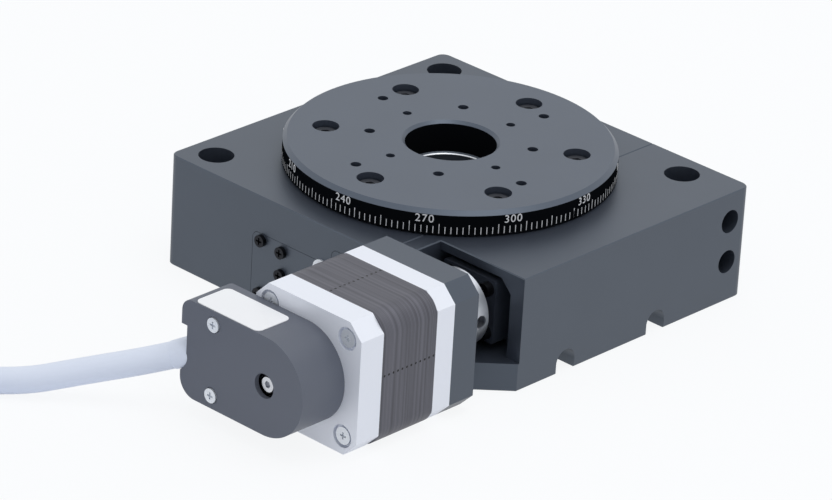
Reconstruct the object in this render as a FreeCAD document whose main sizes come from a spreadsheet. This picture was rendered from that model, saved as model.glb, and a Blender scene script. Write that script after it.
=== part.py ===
import FreeCAD, Part
import Sketcher
import math
import os
import re

# Motorised worm-drive rotary stage, millimetres.
# The origin is on the turning axis, in the plane of the base's feet, with +Z up.
# The motor and the worm lie along Y beside the table, and the motor's end faces -Y.

# Driving dimensions, each set by itself
SIZES = {
    # Two aluminium blocks, joined at a seam beside the turning axis
    "block_half": 60.0,
    "block_height": 36.5,
    "seam_inset": 5.8,
    "corner_radius": 3.0,
    "edge_break": 0.3,
    "notch_floor_gap": 0.5,
    "notch_side_gap": 0.65,
    "notch_gap": 4.5,
    "notch_slant": 19.0,
    "mount_inset": 10.0,
    "mount_hole": 3.3,
    "mount_bore": 5.5,
    "mount_bore_depth": 6.5,
    "side_hole_radius": 3.75,
    "side_hole_depth": 11.0,
    "side_hole_inset": 8.5,
    "side_hole_low": 13.5,
    "side_hole_high": 27.0,
    "arch_radius": 4.0,
    "arch_centre_height": 3.1,
    "arch_depth": 24.0,
    "arch_spacing": 20.0,
    # Worm gear pair
    "gear_module": 0.9,
    "wheel_teeth": 90,
    "wheel_face": 9.0,
    "worm_radius": 7.35,
    "worm_turns": 7,
    "tooth_backlash": 0.14,
    "wheel_gap": 1.2,
    "wheel_seat_step": 4.0,
    # Rotating table
    "table_radius": 51.0,
    "table_gap": 0.5,
    "table_thickness": 7.7,
    "table_chamfer": 1.3,
    "bore_radius": 14.0,
    "bore_chamfer": 0.9,
    "spigot_radius": 20.0,
    "spigot_depth": 2.4,
    "screw_circle_inset": 4.9,
    "table_screw_sink": 2.0,
    "table_screw_room": 0.65,
    "grid_turn": 35.0,
    "grid_pitch": 25.0,
    "grid_hole": 1.65,
    "grid_depth": 6.0,
    "pin_offset": 16.0,
    "pin_hole": 1.4,
    "pin_depth": 5.0,
    # Hollow hub under the table
    "hub_bore": 13.4,
    "hub_chamfer": 0.7,
    "barrel_radius": 20.0,
    "shoulder_step": 2.4,
    "flange_radius": 43.4,
    "flange_thickness": 6.7,
    "hub_bottom": 0.8,
    "nut_wall": 2.6,
    "nut_slot_width": 4.0,
    "nut_slot_depth": 1.4,
    # Table bearing
    "ledge_height": 4.0,
    "bearing_height": 10.0,
    "outer_race_wall": 2.8,
    "race_space": 1.8,
    "inner_race_wall": 2.9,
    "ball_radius": 2.0,
    "groove_gap": 0.25,
    "ball_count": 20,
    "cage_wall": 0.9,
    "cage_height": 6.6,
    "clamp_width": 6.0,
    "clamp_thickness": 1.8,
    "clamp_screw_turn": 30.0,
    "clamp_screw_inset": 3.1,
    # Rooms cut in the blocks
    "wheel_room_gap": 1.8,
    "flange_gap": 1.2,
    "flange_floor_gap": 0.7,
    # Worm shaft and its bearings
    "tunnel_gap": 0.5,
    "shaft_radius": 4.0,
    "shaft_shoulder": 5.0,
    "nose_radius": 3.0,
    "nose_gap": 1.0,
    "worm_bearing_radius": 8.0,
    "worm_bearing_width": 5.0,
    "retainer_lip": 2.0,
    "worm_bearing_rear": 29.0,
    "worm_race_outer": 6.9,
    "worm_race_inner": 5.4,
    "retainer_width": 21.0,
    "retainer_height": 20.4,
    "retainer_proud": 0.5,
    "retainer_depth": 8.0,
    "retainer_bore": 6.4,
    "retainer_screw_x": 7.7,
    "retainer_screw_z": 7.1,
    "retainer_screw_length": 12.0,
    "retainer_room_half": 16.0,
    "retainer_room_top": 12.1,
    "retainer_room_corner": 4.0,
    # Shaft coupling
    "coupling_radius": 12.0,
    "coupling_end_gap": 0.6,
    "coupling_disc_worm": 9.4,
    "coupling_disc_motor": 6.8,
    "spider_thickness": 6.0,
    "jaw_inner": 4.6,
    "jaw_sweep": 70.0,
    "set_screw_inset": 3.2,
    "set_screw_reach": 9.6,
    # Motor and its mounting plate
    "motor_size": 42.3,
    "motor_chamfer": 4.8,
    "plate_thickness": 10.0,
    "plate_bore_gap": 1.6,
    "pilot_radius": 11.0,
    "pilot_depth": 2.0,
    "plate_wall": 2.2,
    "front_cap_depth": 7.2,
    "stack_depth": 22.0,
    "rear_cap_depth": 9.1,
    "motor_screw_inset": 5.65,
    "screw_recess_radius": 3.6,
    "screw_recess_depth": 1.6,
    "motor_shaft": 2.5,
    "rotor_radius": 10.8,
    "air_gap": 0.3,
    "motor_bearing_outer": 8.0,
    "motor_bearing_width": 5.0,
    "motor_race_outer": 6.4,
    "motor_race_inner": 4.4,
    "shaft_hole_gap": 0.7,
    "rotor_gap": 1.0,
    "stack_corner": 7.0,
    "plate_screw_half": 9.5,
    "plate_screw_reach": 7.0,
    # Encoder on the motor's rear
    "encoder_depth": 16.8,
    "encoder_radius": 15.5,
    "encoder_end": 13.8,
    "encoder_wall": 1.6,
    "end_corner_top": 4.0,
    "end_corner_bottom": 6.0,
    "end_notch_depth": 2.3,
    "end_notch_low": 16.0,
    "end_notch_high": 28.5,
    "encoder_hole": 3.8,
    "encoder_base_thickness": 2.5,
    "encoder_base_hole": 6.0,
    "encoder_base_screw": 9.6,
    "post_radius": 2.3,
    "board_thickness": 1.6,
    "board_right": 36.2,
    "reader_left": 31.5,
    "reader_width": 7.5,
    "reader_half": 4.0,
    "reader_height": 2.2,
    "disc_radius": 11.0,
    "disc_thickness": 0.8,
    "disc_gap": 8.7,
    "disc_hub_radius": 5.0,
    "disc_nose_radius": 2.3,
    "disc_hub_reach": 5.0,
    "hub_end_gap": 1.4,
    "shaft_reach": 4.0,
    "encoder_screw_inset": 13.0,
    "post_gap": 0.3,
    "encoder_screw_sink": 0.8,
    "encoder_screw_length": 6.0,
    "label_left": 18.4,
    "label_right": 44.2,
    "label_width": 13.3,
    "label_inset": 3.1,
    "label_corner": 2.0,
    "label_thickness": 0.2,
    # Covers on the -Y face
    "cover_thickness": 2.0,
    "cover_gap": 0.12,
    "cover_screw_grip": 7.0,
    "cover_corner": 2.2,
    "switch_left": -23.3,
    "switch_right": 8.0,
    "switch_low": 2.6,
    "switch_high": 24.5,
    "switch_screw_left": 3.9,
    "switch_screw_right": 2.3,
    "switch_screw_edge": 2.2,
    "wiring_screw_inset": 3.2,
    "sensor_place": -10.8,
    "sensor_width": 7.4,
    "sensor_back": 45.0,
    "sensor_tip": 35.0,
    "sensor_low": 12.4,
    "sensor_high": 23.2,
    "sensor_screw_low": 14.0,
    "sensor_screw_high": 21.5,
    "finger_thickness": 1.7,
    "finger_gap": 0.8,
    "wheel_screw_inset": 6.0,
    "wheel_screw_sink": 3.3,
    "wheel_screw_length": 9.0,
    "magnet_radius": 1.5,
    "magnet_depth": 2.0,
    "magnet_inset": 2.975,
    "lug_radius": 3.0,
    "lug_tail": 5.4,
    "lug_tail_width": 3.2,
    "lug_thickness": 0.6,
    "wiring_left": 9.6,
    "wiring_right": 25.4,
    "wiring_low": 8.0,
    "wiring_high": 30.3,
    # Screws: shank radius, head radius, head height and socket of each kind
    "large_shank": 2.0,
    "large_head": 3.5,
    "large_head_height": 4.0,
    "large_socket": 1.73,
    "medium_shank": 1.5,
    "medium_head": 2.75,
    "medium_head_height": 3.0,
    "medium_socket": 1.44,
    "small_shank": 1.25,
    "small_head": 2.25,
    "small_head_height": 2.5,
    "small_socket": 1.15,
    "tiny_shank": 1.0,
    "tiny_head": 1.9,
    "tiny_head_height": 1.3,
    "cross_length": 1.15,
    "cross_width": 0.28,
    "cross_depth": 0.7,
    # Clearances: a seat between fixed pieces, a thread, a close and a wide way for a screw,
    # the room round a sunk head, the room between coupling jaws, and a free way past a piece
    "seat_gap": 0.02,
    "thread_gap": 0.05,
    "close_gap": 0.15,
    "screw_gap": 0.3,
    "head_gap": 0.2,
    "jaw_gap": 0.4,
    "running_gap": 0.4,
    # Cable
    "cable_radius": 4.0,
    "boot_radius": 4.6,
    "boot_length": 6.0,
    "coil_outer_turn": 50.0,
    "coil_inner_turn": 33.5,
    "coil_layers": 2,
    "entry_stub": 30.4,
    "lead_turn": 33.0,
    "lead_start": 60.0,
    "lead_sweep": 120.0,
    "lead_sink": 0.2,
    "plug_length": 42.0,
    "plug_width": 32.0,
    "plug_height": 14.0,
    "plug_nose": 6.0,
    "plug_inset": 4.0,
    "plug_step": 2.5,
}

# Sizes and places that follow from the driving ones
FOLLOWING = {
    # Blocks, notch and mounting holes
    "mount_half": "block_half - mount_inset",
    # Table and hub
    "table_bottom": "block_height + table_gap",
    "table_top": "table_bottom + table_thickness",
    "flange_bottom": "table_bottom - flange_thickness",
    "flange_room": "flange_radius + flange_gap",
    "flange_room_floor": "flange_bottom - flange_floor_gap",
    "screw_circle": "flange_radius - screw_circle_inset",
    "hub_shoulder": "barrel_radius + shoulder_step",
    "nut_radius": "barrel_radius + nut_wall",
    "wheel_bore": "barrel_radius + wheel_seat_step",
    "wheel_screw_circle": "wheel_bore + wheel_screw_inset",
    # Table bearing, out from the hub's barrel and up from its ledge
    "bearing_top": "ledge_height + bearing_height",
    "race_inner": "barrel_radius + inner_race_wall",
    "race_outer": "race_inner + race_space",
    "ball_circle": "(race_inner + race_outer) / 2",
    "groove_radius": "ball_radius + groove_gap",
    "bearing_outer": "race_outer + outer_race_wall",
    "ledge_radius": "race_outer",
    "clamp_screw_circle": "bearing_outer + clamp_screw_inset",
    "clamp_radius": "bearing_outer + clamp_width",
    # Gear pair
    "axis_height": "bearing_top + clamp_thickness + wheel_gap + wheel_face / 2",
    "wheel_room": "gear_module * (wheel_teeth / 2 + 1) + wheel_room_gap",
    "tunnel_radius": "worm_radius + gear_module + tunnel_gap",
    "magnet_circle": "gear_module * (wheel_teeth / 2 - 1.25) - magnet_inset",
    "finger_high": "axis_height - wheel_face / 2 - finger_gap",
    "finger_low": "finger_high - finger_thickness",
    # Coupling, back from the motor's plate, and the notch round it
    "coupling_front": "block_half + plate_thickness - plate_wall - coupling_end_gap",
    "coupling_gap_front": "coupling_front - coupling_disc_motor",
    "coupling_gap_rear": "coupling_gap_front - spider_thickness",
    "coupling_rear": "coupling_gap_rear - coupling_disc_worm",
    "set_screw_motor": "coupling_front - set_screw_inset",
    "set_screw_place": "coupling_rear + set_screw_inset",
    "plate_bore": "coupling_radius + plate_bore_gap",
    "notch_back": "coupling_rear - notch_gap",
    "notch_left": "gear_module * wheel_teeth / 2 + worm_radius - coupling_radius - notch_side_gap",
    "seam_place": "notch_left - seam_inset",
    "floor_height": "axis_height - coupling_radius - notch_floor_gap",
    "retainer_front": "notch_back + retainer_proud",
    "retainer_back": "retainer_front - retainer_depth",
    "worm_bearing_front": "retainer_front - retainer_lip",
    "nose_start": "retainer_front + nose_gap",
    # Motor and encoder
    "motor_screw_half": "motor_size / 2 - motor_screw_inset",
    "stator_bore": "rotor_radius + air_gap",
    "shaft_hole": "motor_shaft + shaft_hole_gap",
    "motor_rear": "block_half + plate_thickness + front_cap_depth + stack_depth + rear_cap_depth",
    "disc_place": "motor_rear + disc_gap",
    "motor_shaft_end": "disc_place + shaft_reach",
    "disc_nose_start": "disc_place + disc_hub_reach",
    "encoder_screw_x": "encoder_end + encoder_screw_inset",
    "encoder_screw_z": "encoder_radius - encoder_wall - post_radius - post_gap",
    "reader_right": "reader_left + reader_width",
    "label_back": "motor_rear + label_inset",
    "label_front": "label_back + label_width",
}

doc = FreeCAD.newDocument("rotary_stage")
sheet = doc.addObject("Spreadsheet::Sheet", "Sizes")
cells = [(alias, str(size)) for alias, size in SIZES.items()]
cells += [(alias, "=" + formula) for alias, formula in FOLLOWING.items()]
for row, (alias, content) in enumerate(cells, 1):
    sheet.set("A%d" % row, alias)
    sheet.set("B%d" % row, content)
    sheet.setAlias("B%d" % row, alias)
working = doc.addObject("Spreadsheet::Sheet", "Working")
doc.recompute()

# Places that several pieces share, as expressions over the sheet
WORM_X = "(gear_module * wheel_teeth / 2 + worm_radius)"
RIGHT = "(%s + motor_size / 2)" % WORM_X
PLATE_FRONT = "(-block_half - plate_thickness)"
FRONT_CAP_END = "(%s - front_cap_depth)" % PLATE_FRONT
STACK_END = "(%s - stack_depth)" % FRONT_CAP_END
MOTOR_END = "(%s - rear_cap_depth)" % STACK_END
ENCODER_FRONT = "(%s - encoder_depth)" % MOTOR_END
HUB_END = "(%s + hub_end_gap)" % ENCODER_FRONT
WHEEL_LOW = "(axis_height - wheel_face / 2)"
WHEEL_HIGH = "(axis_height + wheel_face / 2)"
WORM_ROOT = "(worm_radius - 1.25 * gear_module)"

# The route of the cable, chosen by hand: from the encoder's boot down to the surface and to the coil
CABLE_ROUTE = [
    (14.0, -121.2, 18.2),
    (4.7, -128.4, 14.0),
    (-9.5, -140.2, 9.0),
    (-24.0, -155.0, 4.0),
    (-46.0, -171.2, 4.0),
]

ALIASES = {alias for alias, _ in cells}
pieces = []


def expression(text):
    """The text with every alias turned into a reference to its cell."""
    return re.sub(r"[a-z][a-z_]*",
                  lambda word: "Sizes." + word[0] if word[0] in ALIASES else word[0], str(text))


def bind(thing, **paths):
    """Tie properties of an object to the sheet; a double underscore stands for a dot."""
    for path, text in paths.items():
        thing.setExpression(path.replace("__", "."), expression(text))
    return thing


def number(text):
    """The value of an expression, worked out in the second sheet."""
    working.set("A1", "=" + expression(text))
    working.recompute()
    return float(working.get("A1"))


def move(thing, x, y, z):
    """Tie the place of an object to the sheet."""
    return bind(thing, Placement__Base__x=x, Placement__Base__y=y, Placement__Base__z=z)


def box(x, y, z):
    """A block between two expressions along each axis."""
    thing = doc.addObject("Part::Box", "Block")
    bind(thing, Length="(%s) - (%s)" % (x[1], x[0]), Width="(%s) - (%s)" % (y[1], y[0]))
    bind(thing, Height="(%s) - (%s)" % (z[1], z[0]))
    return move(thing, x[0], y[0], z[0])


TURNS = {
    "X": FreeCAD.Rotation(FreeCAD.Vector(0, 1, 0), 90),
    "Y": FreeCAD.Rotation(FreeCAD.Vector(1, 0, 0), -90),
    "Z": FreeCAD.Rotation(),
}


def along(axis, start, across):
    """The point at start along an axis and at the other two coordinates, in X, Y, Z order."""
    point = list(across)
    point.insert("XYZ".index(axis), start)
    return point


def rod(axis, radius, start, end, across=("0", "0")):
    """A cylinder along an axis between two places."""
    thing = doc.addObject("Part::Cylinder", "Rod")
    thing.Placement.Rotation = TURNS[axis]
    bind(thing, Radius=radius, Height="(%s) - (%s)" % (end, start))
    return move(thing, *along(axis, start, across))


def cone(axis, first, second, start, end, across=("0", "0")):
    """A cone along an axis, from the first radius to the second."""
    thing = doc.addObject("Part::Cone", "Taper")
    thing.Placement.Rotation = TURNS[axis]
    bind(thing, Radius1=first, Radius2=second, Height="(%s) - (%s)" % (end, start))
    return move(thing, *along(axis, start, across))


def hexagon(axis, radius, start, end, across=("0", "0")):
    """A six-sided bar along an axis."""
    thing = doc.addObject("Part::Prism", "Hexagon")
    thing.Polygon = 6
    thing.Placement.Rotation = TURNS[axis]
    bind(thing, Circumradius=radius, Height="(%s) - (%s)" % (end, start))
    return move(thing, *along(axis, start, across))


def torus(ring, section, x, y, z):
    """A ring of round section about an upright axis."""
    thing = doc.addObject("Part::Torus", "Groove")
    bind(thing, Radius1=ring, Radius2=section)
    return move(thing, x, y, z)


def fuse(*parts):
    """Several objects made one."""
    if len(parts) == 1:
        return parts[0]
    thing = doc.addObject("Part::MultiFuse", "Union")
    thing.Shapes = list(parts)
    thing.Refine = True
    return thing


def cut(base, *tools):
    """An object less one or more others."""
    thing = doc.addObject("Part::Cut", "Difference")
    thing.Base = base
    thing.Tool = fuse(*tools)
    thing.Refine = True
    return thing


def group(parts):
    """Separate solids of one kind, kept apart."""
    thing = doc.addObject("Part::Compound", "Set")
    thing.Links = list(parts)
    return thing


def tube(axis, outer, inner, start, end, across=("0", "0")):
    """A ring along an axis."""
    hole = rod(axis, inner, "(%s) - 1" % start, "(%s) + 1" % end, across)
    return cut(rod(axis, outer, start, end, across), hole)


def piece(label, thing):
    """Name a finished sub-part after its node."""
    thing.Label = label
    pieces.append(thing)
    return thing


def soften(base, name, kind, size, wanted):
    """Round or bevel the edges that the wanted test picks."""
    doc.recompute()
    chosen = [at for at, edge in enumerate(base.Shape.Edges, 1) if wanted(edge)]
    thing = doc.addObject(kind, name)
    thing.Base = base
    thing.Edges = [(at, number(size), number(size)) for at in chosen]
    return thing


def level_edge(edge):
    """Whether an edge lies level."""
    low, high = edge.BoundBox.ZMin, edge.BoundBox.ZMax
    return high - low < 0.001


def upright_at(edge, x, y):
    """Whether a straight upright edge stands at a place in plan."""
    if not isinstance(edge.Curve, (Part.Line, Part.LineSegment)):
        return False
    low, high = edge.Vertexes[0].Point, edge.Vertexes[-1].Point
    near = abs(low.x - x) < 0.01 and abs(low.y - y) < 0.01
    return near and abs(low.x - high.x) < 0.001 and abs(low.y - high.y) < 0.001


# Sketched bodies

def new_body(label):
    body = doc.addObject("PartDesign::Body", "Body")
    body.Label = label
    pieces.append(body)
    return body


def sketch(body, role, loops=(), circles=(), offset="0"):
    """A sketch on one of the body's own planes, each point and radius tied to the sheet."""
    drawing = body.newObject("Sketcher::SketchObject", "Outline")
    plane = [feature for feature in body.Origin.OriginFeatures if feature.Role == role][0]
    drawing.AttachmentSupport = [(plane, "")]
    drawing.MapMode = "FlatFace"
    bind(drawing, AttachmentOffset__Base__z=offset)
    for loop in loops:
        points = [FreeCAD.Vector(number(x), number(y), 0) for x, y in loop]
        first = drawing.GeometryCount
        for at, point in enumerate(points):
            drawing.addGeometry(Part.LineSegment(point, points[(at + 1) % len(points)]))
        for at in range(len(points)):
            following = first + (at + 1) % len(points)
            drawing.addConstraint(Sketcher.Constraint("Coincident", first + at, 2, following, 1))
        for at, (x, y) in enumerate(loop):
            pin(drawing, first + at, 1, x, y)
    for x, y, radius in circles:
        centre = FreeCAD.Vector(number(x), number(y), 0)
        drawing.addGeometry(Part.Circle(centre, FreeCAD.Vector(0, 0, 1), number(radius)))
        at = drawing.GeometryCount - 1
        tie(drawing, Sketcher.Constraint("Radius", at, number(radius)), radius)
        pin(drawing, at, 3, x, y)
    return drawing


def tie(drawing, constraint, text):
    """Add a constraint whose value comes from the sheet."""
    at = drawing.addConstraint(constraint)
    drawing.setExpression("Constraints[%d]" % at, expression(text))


def pin(drawing, geometry, point, x, y):
    """Hold a point of a sketch at its two coordinates."""
    for kind, text in (("DistanceX", x), ("DistanceY", y)):
        tie(drawing, Sketcher.Constraint(kind, -1, 1, geometry, point, number(text)), text)


def feature(body, kind, drawing, **paths):
    """A feature that acts on a whole sketch."""
    thing = body.newObject(kind, kind.split("::")[1])
    thing.Profile = (drawing, [""])
    bind(thing, **paths)
    return thing


def pad(body, drawing, length):
    return feature(body, "PartDesign::Pad", drawing, Length=length)


def pocket(body, drawing, length):
    """Cut a sketch away from the plane it lies in, against the plane's normal."""
    return feature(body, "PartDesign::Pocket", drawing, Length=length)


def revolve(body, loop):
    """Turn an outline of radius and height about the upright axis."""
    drawing = sketch(body, "XZ_Plane", [loop])
    thing = feature(body, "PartDesign::Revolution", drawing)
    thing.ReferenceAxis = (drawing, ["V_Axis"])
    thing.Angle = 360
    return thing


def dress(body, kind, size, wanted):
    """Round or bevel the edges of a body's tip that the wanted test picks."""
    doc.recompute()
    tip = body.Tip
    names = ["Edge%d" % at for at, edge in enumerate(tip.Shape.Edges, 1) if wanted(edge)]
    thing = body.newObject(kind, kind.split("::")[1])
    thing.Base = (tip, names)
    bind(thing, **{"Radius" if kind.endswith("Fillet") else "Size": size})
    return thing


def repeat(body, cuts, count):
    """Repeat cuts evenly about the upright axis, and make that the body's tip."""
    axis = [line for line in body.Origin.OriginFeatures if line.Role == "Z_Axis"][0]
    thing = body.newObject("PartDesign::PolarPattern", "Around")
    thing.Originals = list(cuts)
    thing.Axis = (axis, [""])
    thing.Angle = 360
    thing.Occurrences = count
    body.Tip = thing
    return thing


# Screws

def cap_screw(axis, kind, seat, length, across, side=1):
    """A socket head screw whose head stands on the side of its seat that is given, 1 or -1."""
    tip = "(%s) - %d * (%s)" % (seat, side, length)
    top = "(%s) + %d * %s_head_height" % (seat, side, kind)
    floor = "%s - %d * %s_shank" % (top, side, kind)
    spans = [(tip, seat), (seat, top), (floor, top)]
    if side < 0:
        spans = [(high, low) for low, high in spans]
    shank = rod(axis, kind + "_shank", *spans[0], across)
    head = rod(axis, kind + "_head", *spans[1], across)
    return cut(fuse(head, shank), hexagon(axis, kind + "_socket", *spans[2], across))


def pan_screw(kind, seat, length, place):
    """A cross head screw along Y, whose head stands on the -Y side of its seat."""
    front = "(%s) - tiny_head_height" % seat
    head = rod("Y", kind + "_head", front, seat, place)
    shank = rod("Y", kind + "_shank", seat, "(%s) + %s" % (seat, length), place)
    deep = (front + " - 1", front + " + cross_depth")
    slots = []
    for wide, high in (("cross_length", "cross_width"), ("cross_width", "cross_length")):
        sides = ("%s - %s" % (place[0], wide), "%s + %s" % (place[0], wide))
        heights = ("%s - %s" % (place[1], high), "%s + %s" % (place[1], high))
        slots.append(box(sides, deep, heights))
    return cut(fuse(head, shank), *slots)


def on_circle(radius, count, first=0.0):
    """Places evenly round the turning axis, as expressions, from an angle in degrees."""
    places = []
    for at in range(count):
        turn = math.radians(first + 360.0 * at / count)
        places.append(("%s * %.6f" % (radius, math.cos(turn)), "%s * %.6f" % (radius, math.sin(turn))))
    return places


def turned(x, y):
    """A place on the table's own grid, turned to where the table stands at rest, as expressions."""
    return ("(%s) * cos(grid_turn) - (%s) * sin(grid_turn)" % (x, y),
            "(%s) * sin(grid_turn) + (%s) * cos(grid_turn)" % (x, y))


SQUARE = [(-1, -1), (1, -1), (1, 1), (-1, 1)]
GRID_PLACES = [(1, 0), (-1, 0), (0, 1), (0, -1), (1, 1), (1, -1), (-1, 1), (-1, -1)]


# Base blocks

def mounting_hole(x, y, top):
    """A clear hole for a base screw, with a room for its head below the top."""
    hole = rod("Z", "mount_hole", "-1", "%s + 1" % top, (x, y))
    room = rod("Z", "mount_bore", "%s - mount_bore_depth" % top, "%s + 1" % top, (x, y))
    return [hole, room]


def gear_rooms():
    """The round rooms that the wheel and the hub's flange turn in, open to the top."""
    lower = rod("Z", "wheel_room", "bearing_top", "block_height + 1")
    upper = rod("Z", "flange_room", "flange_room_floor", "block_height + 1")
    return [lower, upper]


def cover_rebate(left, right, low, high):
    """A shallow seat with rounded corners in the -Y face."""
    block = box((left, right), ("-block_half - 1", "-block_half + cover_thickness"), (low, high))
    return soften(block, "RebateCorners", "Part::Fillet", "cover_corner", along_y)


def along_y(edge):
    """Whether an edge runs along Y."""
    if not isinstance(edge.Curve, (Part.Line, Part.LineSegment)):
        return False
    ends = [vertex.Point for vertex in edge.Vertexes]
    return abs(ends[0].x - ends[1].x) < 0.001 and abs(ends[0].z - ends[1].z) < 0.001


SWITCH_SCREWS = [
    ("(switch_left + switch_screw_left)", "(switch_high - switch_screw_edge)"),
    ("(switch_left + switch_screw_left)", "(switch_low + switch_screw_edge)"),
    ("(switch_right - switch_screw_right)", "(switch_high - switch_screw_edge)"),
    ("(switch_right - switch_screw_right)", "(switch_low + switch_screw_edge)"),
]
SENSOR_SCREWS = [("sensor_place", "sensor_screw_low"), ("sensor_place", "sensor_screw_high")]
WIRING_SCREWS = [
    ("(wiring_left + wiring_screw_inset)", "(wiring_low + wiring_screw_inset)"),
    ("(wiring_right - wiring_screw_inset)", "(wiring_high - wiring_screw_inset)"),
]
PLATE_SCREWS = [
    ("((notch_left + seam_place) / 2)", "(axis_height + plate_screw_half)"),
    ("((notch_left + seam_place) / 2)", "(axis_height - plate_screw_half)"),
    (WORM_X, "(floor_height / 2)"),
]
RETAINER_SCREWS = [("(%s %s retainer_screw_x)" % (WORM_X, sx), "(axis_height %s retainer_screw_z)" % sz)
                   for sx in "+-" for sz in "+-"]
HOUSING_SCREWS_LOW = [("-arch_spacing", "arch_centre_height"), ("arch_spacing", "arch_centre_height")]
HOUSING_SCREWS_HIGH = [("-mount_half", "side_hole_low"), ("-mount_half", "side_hole_high")]
SCREW_REACH = "(seam_place - 9)"
NOTCH_SEAT = "(notch_left - medium_head_height - head_gap)"
COVER_SEAT = "(-block_half + cover_thickness)"


def main_block():
    """The larger block: it carries the table's bearing and the covers."""
    body = box(("-block_half", "seam_place"), ("-block_half", "block_half"), ("0", "block_height"))
    body = soften(body, "Corners", "Part::Fillet", "corner_radius", lambda edge: upright_at(
        edge, -number("block_half"), -number("block_half")) or upright_at(
        edge, -number("block_half"), number("block_half")))
    body = soften(body, "EdgeBreaks", "Part::Chamfer", "edge_break", level_edge)
    tools = gear_rooms()
    tools.append(rod("Z", "bearing_outer + seat_gap", "ledge_height", "bearing_top + 1"))
    tools.append(rod("Z", "ledge_radius", "-1", "ledge_height + 1"))
    for side in ("-", ""):
        tools += mounting_hole("-mount_half", side + "mount_half", "block_height")
    for x, y in on_circle("clamp_screw_circle", 6, SIZES["clamp_screw_turn"]):
        tools.append(rod("Z", "medium_shank + thread_gap", "bearing_top - 7", "bearing_top + 1", (x, y)))
    tools.append(cover_rebate("switch_left", "switch_right", "switch_low", "switch_high"))
    tools.append(cover_rebate("wiring_left", "wiring_right", "wiring_low", "wiring_high"))
    half = "(sensor_width / 2 + running_gap)"
    sides = ("sensor_place - " + half, "sensor_place + " + half)
    heights = ("sensor_low - running_gap", "sensor_high + running_gap")
    tools.append(box(sides, ("-block_half", "-wheel_room + 4"), heights))
    tools.append(box(("wiring_left + wiring_screw_inset * 2", "wiring_right - wiring_screw_inset * 2"),
                     ("-block_half", "-block_half + 8"), ("wiring_low + 2", "wiring_high - 2")))
    for place in SWITCH_SCREWS + WIRING_SCREWS:
        tools.append(rod("Y", "tiny_shank + thread_gap", "-block_half", "-block_half + 8", place))
    for place in HOUSING_SCREWS_LOW + HOUSING_SCREWS_HIGH:
        tools.append(rod("X", "medium_shank + thread_gap", SCREW_REACH, "seam_place + 1", place))
    return piece("main_block", cut(body, *tools))


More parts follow.
